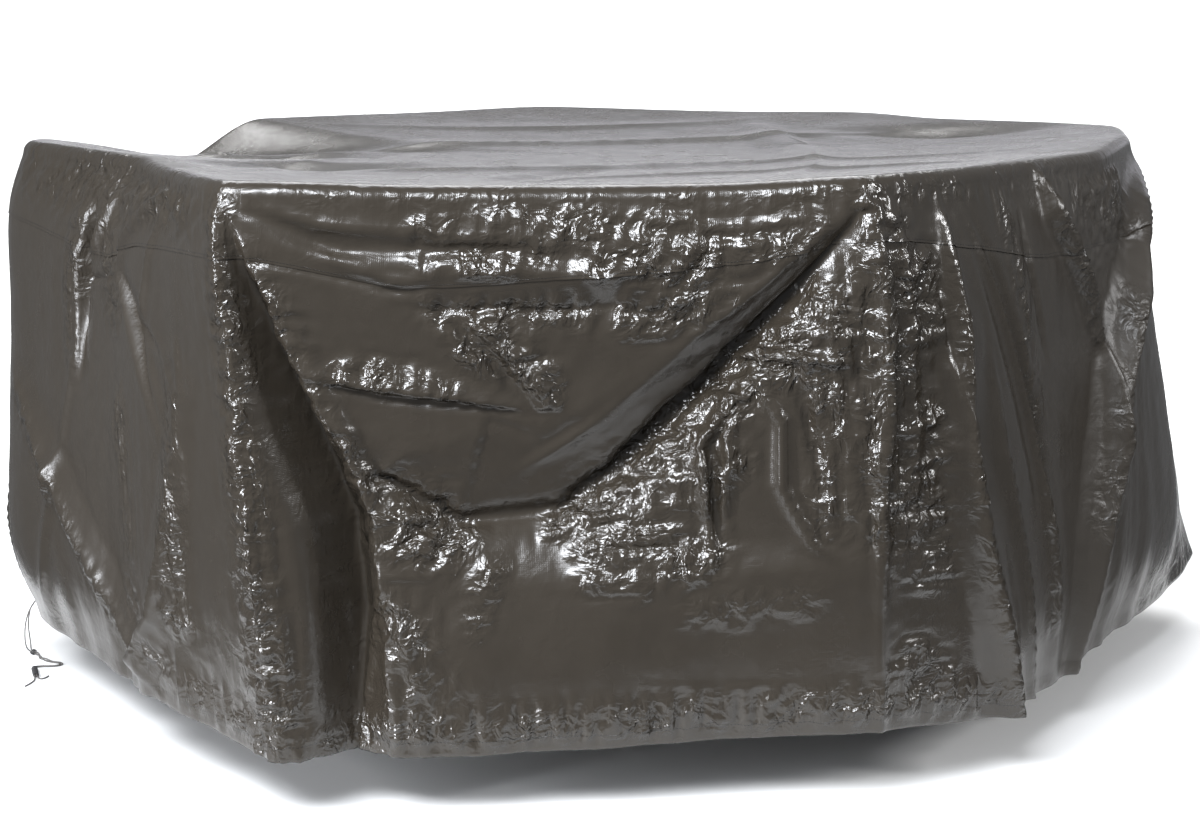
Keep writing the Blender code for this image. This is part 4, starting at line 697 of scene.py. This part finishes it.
# ---- the route of the drawcord
def strand_route(side):
    """One end's points, side -1 or 1: out of the hem's edge, then along the rows of DRAWCORD."""
    beside = side * CORD_EXITS_APART / 2 / ARC_PER_DEGREE
    hem = side_points(np.array([CORD_EXIT + beside]), np.array([1.0]))[0]
    outward = np.array([hem[0], hem[1], 0.0])
    start = hem - outward / np.linalg.norm(outward) * SHEET / 2 - np.array([0, 0, CORD_GAP])
    middle = np.array([(x, y, z - CROWN) for x, y, z, *_ in DRAWCORD])
    heading = np.gradient(middle, axis=0)
    heading /= np.linalg.norm(heading, axis=1)[:, None]
    route = [start, start - np.array([0, 0, 2 * CORD])]
    for point, ahead, (_, _, _, apart, facing, turn) in zip(middle, heading, DRAWCORD):
        level = np.array([math.sin(math.radians(facing)), -math.cos(math.radians(facing)), 0.0])
        upright = np.cross(level, ahead)
        upright /= np.linalg.norm(upright)
        across = math.cos(math.radians(turn)) * level + math.sin(math.radians(turn)) * upright
        route.append(point + side * apart / 2 * across)
    return route


def smooth_route(points, step):
    """Points about this far apart along a smooth curve through the route's own points."""
    points = [2 * points[0] - points[1], *points, 2 * points[-1] - points[-2]]
    fine = []
    for before, start, end, after in zip(points, points[1:], points[2:], points[3:]):
        for t in np.linspace(0, 1, 12, endpoint=False):
            slope_in, slope_out = (end - before) / 2, (after - start) / 2
            fine.append(hermite(t, 1.0, start, end, slope_in, slope_out))
    fine.append(points[-2])
    fine = np.array(fine)
    along = np.concatenate([[0], np.cumsum(np.linalg.norm(np.diff(fine, axis=0), axis=1))])
    places = np.linspace(0, along[-1], 1 + round(along[-1] / step))
    return np.stack([np.interp(places, along, fine[:, k]) for k in range(3)], axis=-1)


# ---- the film's crumples
def noise(x, y, seed):
    """Smooth noise between about -1 and 1, with one swell for each unit of x and y."""
    angles = np.random.RandomState(seed).uniform(0, math.tau, (NOISE_TABLE, NOISE_TABLE))
    x0, y0 = np.floor(x).astype(int), np.floor(y).astype(int)
    fx, fy = x - x0, y - y0
    total = 0
    wx, wy = fx * fx * fx * (fx * (fx * 6 - 15) + 10), fy * fy * fy * (fy * (fy * 6 - 15) + 10)
    for dx, ax in ((0, 1 - wx), (1, wx)):
        for dy, ay in ((0, 1 - wy), (1, wy)):
            angle = angles[(x0 + dx) % NOISE_TABLE, (y0 + dy) % NOISE_TABLE]
            total = total + ax * ay * (np.cos(angle) * (fx - dx) + np.sin(angle) * (fy - dy))
    return 1.5 * total


def crumple(x, y, seed, octaves=3):
    """Sharp-edged crumples about one unit across."""
    wx = x + CRUMPLE_SHIFT * noise(x * CRUMPLE_SLOWER + 7, y * CRUMPLE_SLOWER, seed + 50)
    wy = y + CRUMPLE_SHIFT * noise(x * CRUMPLE_SLOWER, y * CRUMPLE_SLOWER + 3, seed + 51)
    total, size, height = 0, 1.0, 1.0
    for k in range(octaves):
        total = total + height * (1 - 2 * np.abs(noise(wx * size, wy * size, seed + k)))
        size, height = size * CRUMPLE_FINER, height * CRUMPLE_LOWER
    return total


def turned(across, down, degrees):
    """Places measured along and beside a direction that leans this far from the vertical."""
    turn = math.radians(degrees)
    up = -down
    return across * math.cos(turn) - up * math.sin(turn), across * math.sin(turn) + up * math.cos(turn)


# ---- the settling
def pull(points, first, second, rest, stiffness):
    """Moves the points at two sets of places towards their rest distance."""
    a, b = points[first], points[second]
    apart = b - a
    length = np.sqrt((apart * apart).sum(-1))
    move = apart * (stiffness / 2 * (1 - rest / np.maximum(length, 1e-9)))[..., None]
    points[first] = a + move
    points[second] = b - move


def pairs(count, start):
    """Every second place from start on, and the place after each."""
    number = (count - start) // 2
    return slice(start, start + 2 * number - 1, 2), slice(start + 1, start + 2 * number, 2)


def settle(points, target, rests, hold, rounds):
    """The film takes its own lengths, while it is held softly near the target and kept from sharp bends."""
    rows, columns = points.shape[:2]
    around, down, slant, other_slant = rests
    every = slice(None)
    for _ in range(rounds):
        for start in (0, 1):
            left, right = pairs(columns, start)
            pull(points, (every, left), (every, right), around[:, left], 1.0)
            low, high = pairs(rows, start)
            pull(points, (low, every), (high, every), down[low], 1.0)
            for side in (0, 1):
                left, right = pairs(columns, side)
                pull(points, (low, left), (high, right), slant[low, left], SLANT_PULL)
                pull(points, (low, right), (high, left), other_slant[low, left], SLANT_PULL)
        middle = points[1:-1]
        middle += BENDING / 2 * ((points[2:] + points[:-2]) / 2 - middle)
        points += BENDING / 2 * ((np.roll(points, 1, 1) + np.roll(points, -1, 1)) / 2 - points)
        points += hold[..., None] * (target - points)


def rest_lengths(points, spare_around, spare_down):
    """Lengths of the grid's lines and diagonals, with the spare cloth in them."""
    beside = np.roll(points, -1, axis=1)
    both = 1 + (spare_around + spare_down)[:-1] / 2
    around = np.linalg.norm(beside - points, axis=-1) * (1 + spare_around)
    down = np.linalg.norm(points[1:] - points[:-1], axis=-1) * (1 + spare_down[:-1])
    slant = np.linalg.norm(beside[1:] - points[:-1], axis=-1) * both
    other = np.linalg.norm(points[1:] - beside[:-1], axis=-1) * both
    return around, down, slant, other


def doubled(values, shape):
    """A coarse grid's values at every place of the fine grid."""
    rows, columns = shape
    fine = np.zeros((2 * values.shape[0], 2 * values.shape[1], values.shape[2]))
    fine[::2, ::2] = values
    fine[::2, 1::2] = (values + np.roll(values, -1, axis=1)) / 2
    fine[1:-1:2] = (fine[:-2:2] + fine[2::2]) / 2
    fine[-1] = fine[-2]
    return fine[:rows, :columns]


def first_crumples(masks, across, down):
    """Heights of the first crumples at the side's points, before the film settles; 1 for a tall one."""
    height = SWELL * masks["soft"] * noise(across / SWELL_SIZE[0], down / SWELL_SIZE[1], SEEDS["swell"])
    wide = crumple(across / WIDE_SIZE, down / WIDE_SIZE, SEEDS["wide"], 2)
    height += WIDE * wide + FINE * crumple(across / FINE_SIZE, down / FINE_SIZE, SEEDS["fine"])
    for number, (lie, (turn, (width, length))) in enumerate(LIES.items()):
        beside, along = turned(across, down, turn)
        places = beside / (CRUMPLE_SIZE * width), along / (CRUMPLE_SIZE * length)
        height += masks[lie] * crumple(*places, SEEDS["patch"] + PATCH_SEEDS * number)
    return height


def crinkle_strengths(masks, azimuth, across, down, shape):
    """For each way to lie, the strength of the crinkles at every point of the cover, its back and top too."""
    side = len(azimuth)
    over_rim = np.clip(1 - np.arange(1, RIM_ROWS + 1) / RIM_ROWS, 0, 1)[:, None]
    from_back = np.abs((azimuth - BACK_MIDDLE + 180) % 360 - 180)
    behind = np.clip((BACK_REACH - from_back) / BACK_FADE, 0, 1)
    strengths = {}
    for number, (lie, mask) in enumerate(masks.items()):
        grid = np.zeros(shape)
        grid[:side] = mask
        grid[side:side + RIM_ROWS] = over_rim * mask[-1]
        if lie in LIES:
            seed = SEEDS["back"] + number
            cloud = noise(across / BACK_PATCH[0] + 3 * number, down / BACK_PATCH[1], seed)
            patches = np.clip(BACK_CONTRAST * cloud - BACK_BARE, 0, 1)
            grid[:side] = np.maximum(grid[:side], BACK_CRINKLE * behind * patches)
        if lie in ALL_OVER:
            grid[side:] = np.maximum(grid[side:], TOP_CRINKLE)
            grid[:side] = np.maximum(grid[:side], SIDE_CRINKLE)
        strengths[lie] = grid
    return strengths


def spare_cloth(masks, shape):
    """The spare cloth round and down at every point, as shares of its length there."""
    any_lie = np.max([masks[lie] for lie in LIES], axis=0)
    slanted = SPARE_SLANTED * np.maximum(masks["rise"], masks["fall"])
    spares = []
    for lie, soft in zip(("down", "across"), SPARE_SOFT):
        spare = np.zeros(shape)
        here = np.maximum(masks[lie], slanted) + SPARE_EITHER_WAY * any_lie + soft * masks["soft"]
        spare[:len(here)] = SPARE * (here + SPARE_ALL_OVER)
        spares.append(spare)
    return spares


def crumpled_cover(around):
    """The cover's outer face as it shows, and at its points the strength of the crinkles of each lie."""
    smooth, azimuth, share = smooth_cover(around)
    side, shape = len(share), smooth.shape[:2]
    normal = normals_of(smooth)
    masks = crinkle_masks(azimuth, share)
    across, down = azimuth * ARC_PER_DEGREE, share * DROP
    seed = first_crumples(masks, across, down)
    near_rim = np.clip(down / RIM_CALM, RIM_SHARE, 1)
    spares = spare_cloth(masks, shape)
    lift = np.zeros(shape)
    lift[:side] = sum(side_fold(crease, azimuth, share) for crease in CREASES.values())
    target = smooth + normal * lift[..., None]
    points = target.copy()
    points[:side] += normal[:side] * (SEED_HEIGHT * seed * near_rim)[..., None]
    hold = np.full(shape, HOLD_SIDE)
    hold[side - 2:] = HOLD_TOP
    coarse, coarse_target, *coarse_spares, coarse_hold = (
        grid[::2, ::2].copy() for grid in (points, target, *spares, hold)
    )
    rests = rest_lengths(coarse_target, *coarse_spares)
    settle(coarse, coarse_target, rests, coarse_hold, COARSE_ROUNDS)
    points = target + doubled(coarse - coarse_target, shape)
    points[:side] += normal[:side] * (SEED_AGAIN * SEED_HEIGHT * seed * near_rim)[..., None]
    rests = rest_lengths(target, *(spare * FINE_SPARE for spare in spares))
    settle(points, target, rests, hold, FINE_ROUNDS)
    return points, crinkle_strengths(masks, azimuth, across, down, shape)


# ---- meshes
def put(name, data):
    """A new object with this data, in the scene."""
    piece = bpy.data.objects.new(name, data)
    bpy.context.scene.collection.objects.link(piece)
    return piece


def put_piece(name, data):
    piece = put(name, data)
    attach(piece, "root")
    return piece


def sheet_mesh(name, points, faces, numbers, flat):
    """A smooth piece of cloth with these numbers at its points and a flat pattern in metres as its UV map."""
    data = bpy.data.meshes.new(name)
    data.from_pydata(points.tolist(), [], faces)
    for key, values in numbers.items():
        data.attributes.new(key, "FLOAT", "POINT").data.foreach_set("value", values.astype(np.float32))
    corners = np.empty(len(data.loops), np.int32)
    data.loops.foreach_get("vertex_index", corners)
    layer = data.uv_layers.new(name="flat")
    layer.data.foreach_set("uv", flat[corners].astype(np.float32).ravel())
    data.shade_smooth()
    return put_piece(name, data)


def ring_faces(rows, columns):
    """Faces of a grid that closes on itself, facing out where the rows go up."""
    index = np.arange(rows * columns).reshape(rows, columns)
    beside = np.roll(index, -1, axis=1)
    return np.stack([index[:-1], beside[:-1], beside[1:], index[1:]], axis=-1).reshape(-1, 4).tolist()


def along_cloth(points):
    """Metres from the lowest row up to each row."""
    steps = np.linalg.norm(np.diff(points, axis=0), axis=-1)
    return np.concatenate([np.zeros((1, points.shape[1])), np.cumsum(steps, axis=0)])


def fine_columns():
    return np.concatenate([np.arange(start, end - 1e-6, step) for start, end, step in FINE_SPANS])


def make_sheets():
    """The skirt, from its folded hem up to the seam, and the top, from the seam to its middle."""
    around = fine_columns()
    cover, strengths = crumpled_cover(around)
    shown = {"crinkle": np.max([strengths[lie] for lie in LIES], axis=0)}
    shown.update({"lie_" + lie: grid for lie, grid in strengths.items()})
    normal = normals_of(cover)
    up = along_cloth(cover)
    seam, lap = SKIRT_STEPS, slice(SKIRT_STEPS, SKIRT_STEPS + 2)

    # the hem's cloth turns under its edge and runs up again inside
    inside = [cover[row] - normal[row] * HEM_INSIDE for row in HEM_TUCK]
    edge = cover[0] - normal[0] * EDGE_INSIDE - [0, 0, EDGE_DROP]
    points = np.stack([*inside, edge, *cover[:seam], *(cover[lap] - normal[lap] * SEAM_INSIDE)])
    skirt_up = np.stack([*(-up[row] for row in (*HEM_TUCK, 0)), *up[:seam + 2]])
    plain = np.zeros((len(inside) + 1, len(around)))
    numbers = {name: np.concatenate([plain, grid[:seam + 2]]).ravel() for name, grid in shown.items()}
    numbers.update(from_seam=(up[seam] - skirt_up).ravel(), from_hem=skirt_up.ravel())
    across = np.broadcast_to(around * ARC_PER_DEGREE, skirt_up.shape)
    flat = np.stack([across, skirt_up], axis=-1).reshape(-1, 2)
    skirt = sheet_mesh("cover_skirt", points.reshape(-1, 3), ring_faces(*skirt_up.shape), numbers, flat)

    # the top closes on one point at its middle, added last
    points = cover[seam:].copy()
    points[0] += normal[seam] * SEAM_OUTSIDE
    rows, columns = points.shape[:2]
    faces = ring_faces(rows, columns)
    centre = rows * columns
    last = centre - columns
    faces += [(last + i, last + (i + 1) % columns, centre) for i in range(columns)]
    numbers = {name: np.append(grid[seam:].ravel(), 0) for name, grid in shown.items()}
    numbers["from_seam"] = np.append((up[seam] - up[seam:]).ravel(), -1)
    numbers["from_hem"] = np.append(up[seam:].ravel(), 1)
    flat = np.concatenate([points[..., :2].reshape(-1, 2), [[0, 0]]])
    points = np.concatenate([points.reshape(-1, 3), points[-1].mean(axis=0)[None]])
    return skirt, sheet_mesh("cover_top", points, faces, numbers, flat)


# ---- materials
class Nodes:
    """Short ways to add and link the nodes of one material."""

    def __init__(self, name):
        self.material = bpy.data.materials.new(name)
        self.material.use_nodes = True
        self.tree = self.material.node_tree
        self.shader = self.tree.nodes["Principled BSDF"]

    def add(self, kind, inputs, **settings):
        node = self.tree.nodes.new("ShaderNode" + kind)
        for key, value in settings.items():
            setattr(node, key, value)
        for key, value in inputs.items():
            self.feed(node.inputs[key], value)
        return node

    def feed(self, socket, value):
        if isinstance(value, bpy.types.NodeSocket):
            self.tree.links.new(value, socket)
        else:
            socket.default_value = value

    def paint(self, **values):
        """Feeds the shader: base_color=... is its Base Color."""
        for key, value in values.items():
            self.feed(self.shader.inputs[key.replace("_", " ").title()], value)

    def math(self, operation, *values):
        return self.add("Math", dict(enumerate(values)), operation=operation).outputs[0]

    def mix(self, share, first, second):
        return self.add("Mix", {0: share, 6: first, 7: second}, data_type="RGBA").outputs[2]

    def bump(self, height, distance, normal=None):
        inputs = {"Height": height, "Distance": distance, "Strength": 1.0}
        if normal is not None:
            inputs["Normal"] = normal
        return self.add("Bump", inputs).outputs[0]

    def number(self, name):
        return self.add("Attribute", {}, attribute_name=name).outputs["Fac"]

    def place(self, output="Object"):
        return self.add("TexCoord", {}).outputs[output]

    def noise(self, vector, scale, detail, output="Fac"):
        return self.add("TexNoise", {"Vector": vector, "Scale": scale, "Detail": detail}).outputs[output]

    def along(self, vector, axis):
        return self.add("SeparateXYZ", {"Vector": vector}).outputs[axis]


def stitch_line(n, flat, from_edge, offset):
    """1 on the thread of a line of stitches that runs beside an edge, else 0."""
    near = n.math("LESS_THAN", n.math("ABSOLUTE", n.math("SUBTRACT", from_edge, offset)), STITCH_WIDTH / 2)
    share = n.math("FRACT", n.math("DIVIDE", n.along(flat, "X"), STITCH))
    return n.math("MULTIPLY", near, n.math("LESS_THAN", share, STITCH_SHARE))


def wrinkles(n, flat, lie, clumps):
    """Sharp wrinkles that lie this way, as tall as their patch is strong."""
    turn, size = LIES[lie]
    spread = {"Vector": flat, "Rotation": (0, 0, -math.radians(turn)), "Scale": (*size, 1.0)}
    places = n.add("Mapping", spread, vector_type="TEXTURE").outputs[0]
    ridged = {"Vector": places, "Scale": 1.0, "Detail": WRINKLE_DETAIL, "Distortion": WRINKLE_BEND}
    ridges = n.add("TexNoise", ridged, noise_type="RIDGED_MULTIFRACTAL").outputs["Fac"]
    return n.math("MULTIPLY", ridges, n.math("MULTIPLY", n.number("lie_" + lie), clumps))


def sheet_material():
    n = Nodes("laminated_sheet")
    flat = n.add("UVMap", {}, uv_map="flat").outputs[0]
    place = n.place()
    crinkle = n.math("MINIMUM", n.number("crinkle"), CRINKLE_LIMIT)
    thread = n.math(
        "MAXIMUM", stitch_line(n, flat, n.number("from_seam"), SEAM_STITCHES),
        stitch_line(n, flat, n.number("from_hem"), HEM_BAND - HEM_STITCHES),
    )
    base = n.mix(n.noise(place, *CLOUD), BASE_DARK, BASE_LIGHT)
    base = n.mix(n.math("MULTIPLY", n.noise(place, *FINE_CLOUD), WORN), base, BASE_WORN)
    rough = n.math("ADD", ROUGH_LEAST, n.math("MULTIPLY", n.noise(place, *ROUGH_CLOUD), ROUGH_MORE))
    rough = n.math("ADD", rough, n.math("MULTIPLY", n.number("lie_soft"), ROUGH_SOFT))
    rough = n.math("SUBTRACT", rough, n.math("MULTIPLY", crinkle, ROUGH_CRINKLED))
    # the weave under the film, then its wrinkles from wide to fine, and the thread on it
    weave = {"Vector": flat, "Scale": WEAVE}
    warp, weft = (n.add("TexWave", weave, bands_direction=axis).outputs["Fac"] for axis in ("X", "Y"))
    normal = n.bump(n.math("MAXIMUM", warp, weft), WEAVE_HEIGHT)
    slanted = {"Vector": flat, "Scale": LONG_FOLDS, "Rotation": (0, 0, LONG_TURN)}
    normal = n.bump(n.noise(n.add("Mapping", slanted).outputs[0], 1.0, LONG_DETAIL), LONG_HEIGHT, normal)
    clumps = n.math("SUBTRACT", n.noise(place, *CLUMPS), CLUMP_FROM)
    clumps = n.math("MAXIMUM", n.math("MULTIPLY", clumps, CLUMP_CONTRAST), CLUMP_RANGE[0])
    clumps = n.math("MINIMUM", clumps, CLUMP_RANGE[1])
    height = 0.0
    for lie in LIES:
        height = n.math("ADD", height, wrinkles(n, flat, lie, clumps))
    normal = n.bump(height, WRINKLE_HEIGHT, normal)
    sway = {0: n.noise(place, SWAY, 1.0, "Color"), 1: (SWAY_REACH,) * 3, 2: place}
    bent = n.add("VectorMath", sway, operation="MULTIPLY_ADD").outputs[0]
    for scale, tall in FACETS:
        cells = {"Vector": bent, "Scale": scale, "Randomness": 1.0}
        facets = n.add("TexVoronoi", cells, feature="F1", distance="MANHATTAN").outputs["Distance"]
        normal = n.bump(n.math("MULTIPLY", facets, n.math("MULTIPLY", crinkle, clumps)), tall, normal)
    normal = n.bump(thread, THREAD_HEIGHT, normal)
    n.paint(base_color=n.mix(thread, base, THREAD), roughness=rough, normal=normal)
    return n.material


def cord_material(name):
    """A braid: two sets of slanting ribs, on a curve's own UV map."""
    dark, light, turns = BRAIDS[name]
    n = Nodes(name)
    uv = n.place("UV")
    run = n.math("MULTIPLY", n.along(uv, "X"), turns * math.tau)
    ribs = []
    for slant in (BRAID_SLANT, -BRAID_SLANT):
        ribs.append(n.math("SINE", n.math("ADD", run, n.math("MULTIPLY", n.along(uv, "Y"), slant))))
    braid = n.math("MULTIPLY", n.math("ADD", n.math("MAXIMUM", *ribs), 1.0), 0.5)
    fuzz = n.noise(n.place(), *FUZZ)
    n.paint(
        base_color=n.mix(n.math("MULTIPLY", braid, fuzz), dark, light),
        roughness=n.math("ADD", BRAID_ROUGH, n.math("MULTIPLY", fuzz, BRAID_FUZZ)),
        normal=n.bump(braid, BRAID_HEIGHT),
    )
    return n.material


# ---- the drawcord and its knots
def tube(name, points, diameter, material):
    curve = bpy.data.curves.new(name, "CURVE")
    curve.dimensions = "3D"
    curve.bevel_depth = diameter / 2
    curve.bevel_resolution = 4
    curve.use_fill_caps = True
    spline = curve.splines.new("POLY")
    spline.points.add(len(points) - 1)
    spline.points.foreach_set("co", np.append(points, np.ones((len(points), 1)), axis=1).ravel())
    spline.use_smooth = True
    curve.materials.append(material)
    return put_piece(name, curve)


def winding(first, last, turns):
    """A helix drawn tight round both strands, from one row of DRAWCORD to another."""
    start, end = (np.array(DRAWCORD[row][:3]) - [0, 0, CROWN] for row in (first, last))
    axis = (end - start) / np.linalg.norm(end - start)
    side = np.cross(axis, [0.0, 0.0, 1.0])
    side /= np.linalg.norm(side)
    other = np.cross(axis, side)
    share = np.linspace(0, 1, WRAP_POINTS * turns + 1)
    angle = math.tau * turns * share
    radius = WRAP_RADIUS + WRAP_UNEVEN * noise(share * turns, share * 3, SEEDS["winding"])
    ring = np.cos(angle)[:, None] * side + np.sin(angle)[:, None] * other
    return start + np.outer(share, end - start) + ring * radius[:, None]


def make_cords():
    cord, dark = (cord_material(name) for name in BRAIDS)
    for node, first, last, turns in KNOTS:
        # the windings take the darker braid, which is painted shade on the knots
        wrap = tube(node + "_winding", winding(first, last, turns), WRAP_CORD, dark)
        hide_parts(node)
    for name, side in (("left_strand", -1), ("right_strand", 1)):
        points = smooth_route(strand_route(side), CORD)
        strand = tube(name + "_cord", points, CORD, cord)
        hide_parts(name)


# ---- the studio
def make_stage():
    points = [(side * half, y, z - CROWN) for side in (-1, 1) for y, z, half in SWEEP]
    count = len(SWEEP)
    data = bpy.data.meshes.new("studio_floor")
    data.from_pydata(points, [], [(i, i + count, i + count + 1, i + 1) for i in range(count - 1)])
    data.shade_smooth()
    n = Nodes("studio_paper")
    n.paint(base_color=n.mix(n.noise(n.place(), *PAPER_CLOUD), *PAPER), roughness=PAPER_ROUGH)
    data.materials.append(n.material)
    put("studio_floor", data)
    for name, place, aim, size, power, colour in LIGHTS:
        lamp = bpy.data.lights.new(name, "AREA")
        lamp.shape = "RECTANGLE"
        lamp.size, lamp.size_y = size
        lamp.energy = power
        lamp.color = colour
        light = put(name, lamp)
        light.location = place
        light.rotation_euler = (Vector(aim) - Vector(place)).to_track_quat("-Z", "Y").to_euler()
    world = bpy.data.worlds.new("studio_air")
    world.use_nodes = True
    air = world.node_tree.nodes["Background"].inputs
    air["Color"].default_value, air["Strength"].default_value = AIR_COLOUR, AIR
    bpy.context.scene.world = world


def make_camera():
    lens = bpy.data.cameras.new("camera")
    lens.lens, lens.sensor_width = LENS, SENSOR
    camera = put("camera", lens)
    camera.location = CAMERA_PLACE
    camera.rotation_euler = (math.radians(CAMERA_TILT), 0, 0)
    bpy.context.scene.camera = camera


def main():
    make_camera()
    make_cords()
    skirt, top = make_sheets()
    material = sheet_material()
    for piece, node in ((skirt, "skirt"), (top, "top_panel")):
        piece.data.materials.append(material)
        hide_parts(node)
    make_stage()
    bpy.context.scene.view_settings.view_transform = "Standard"


main()
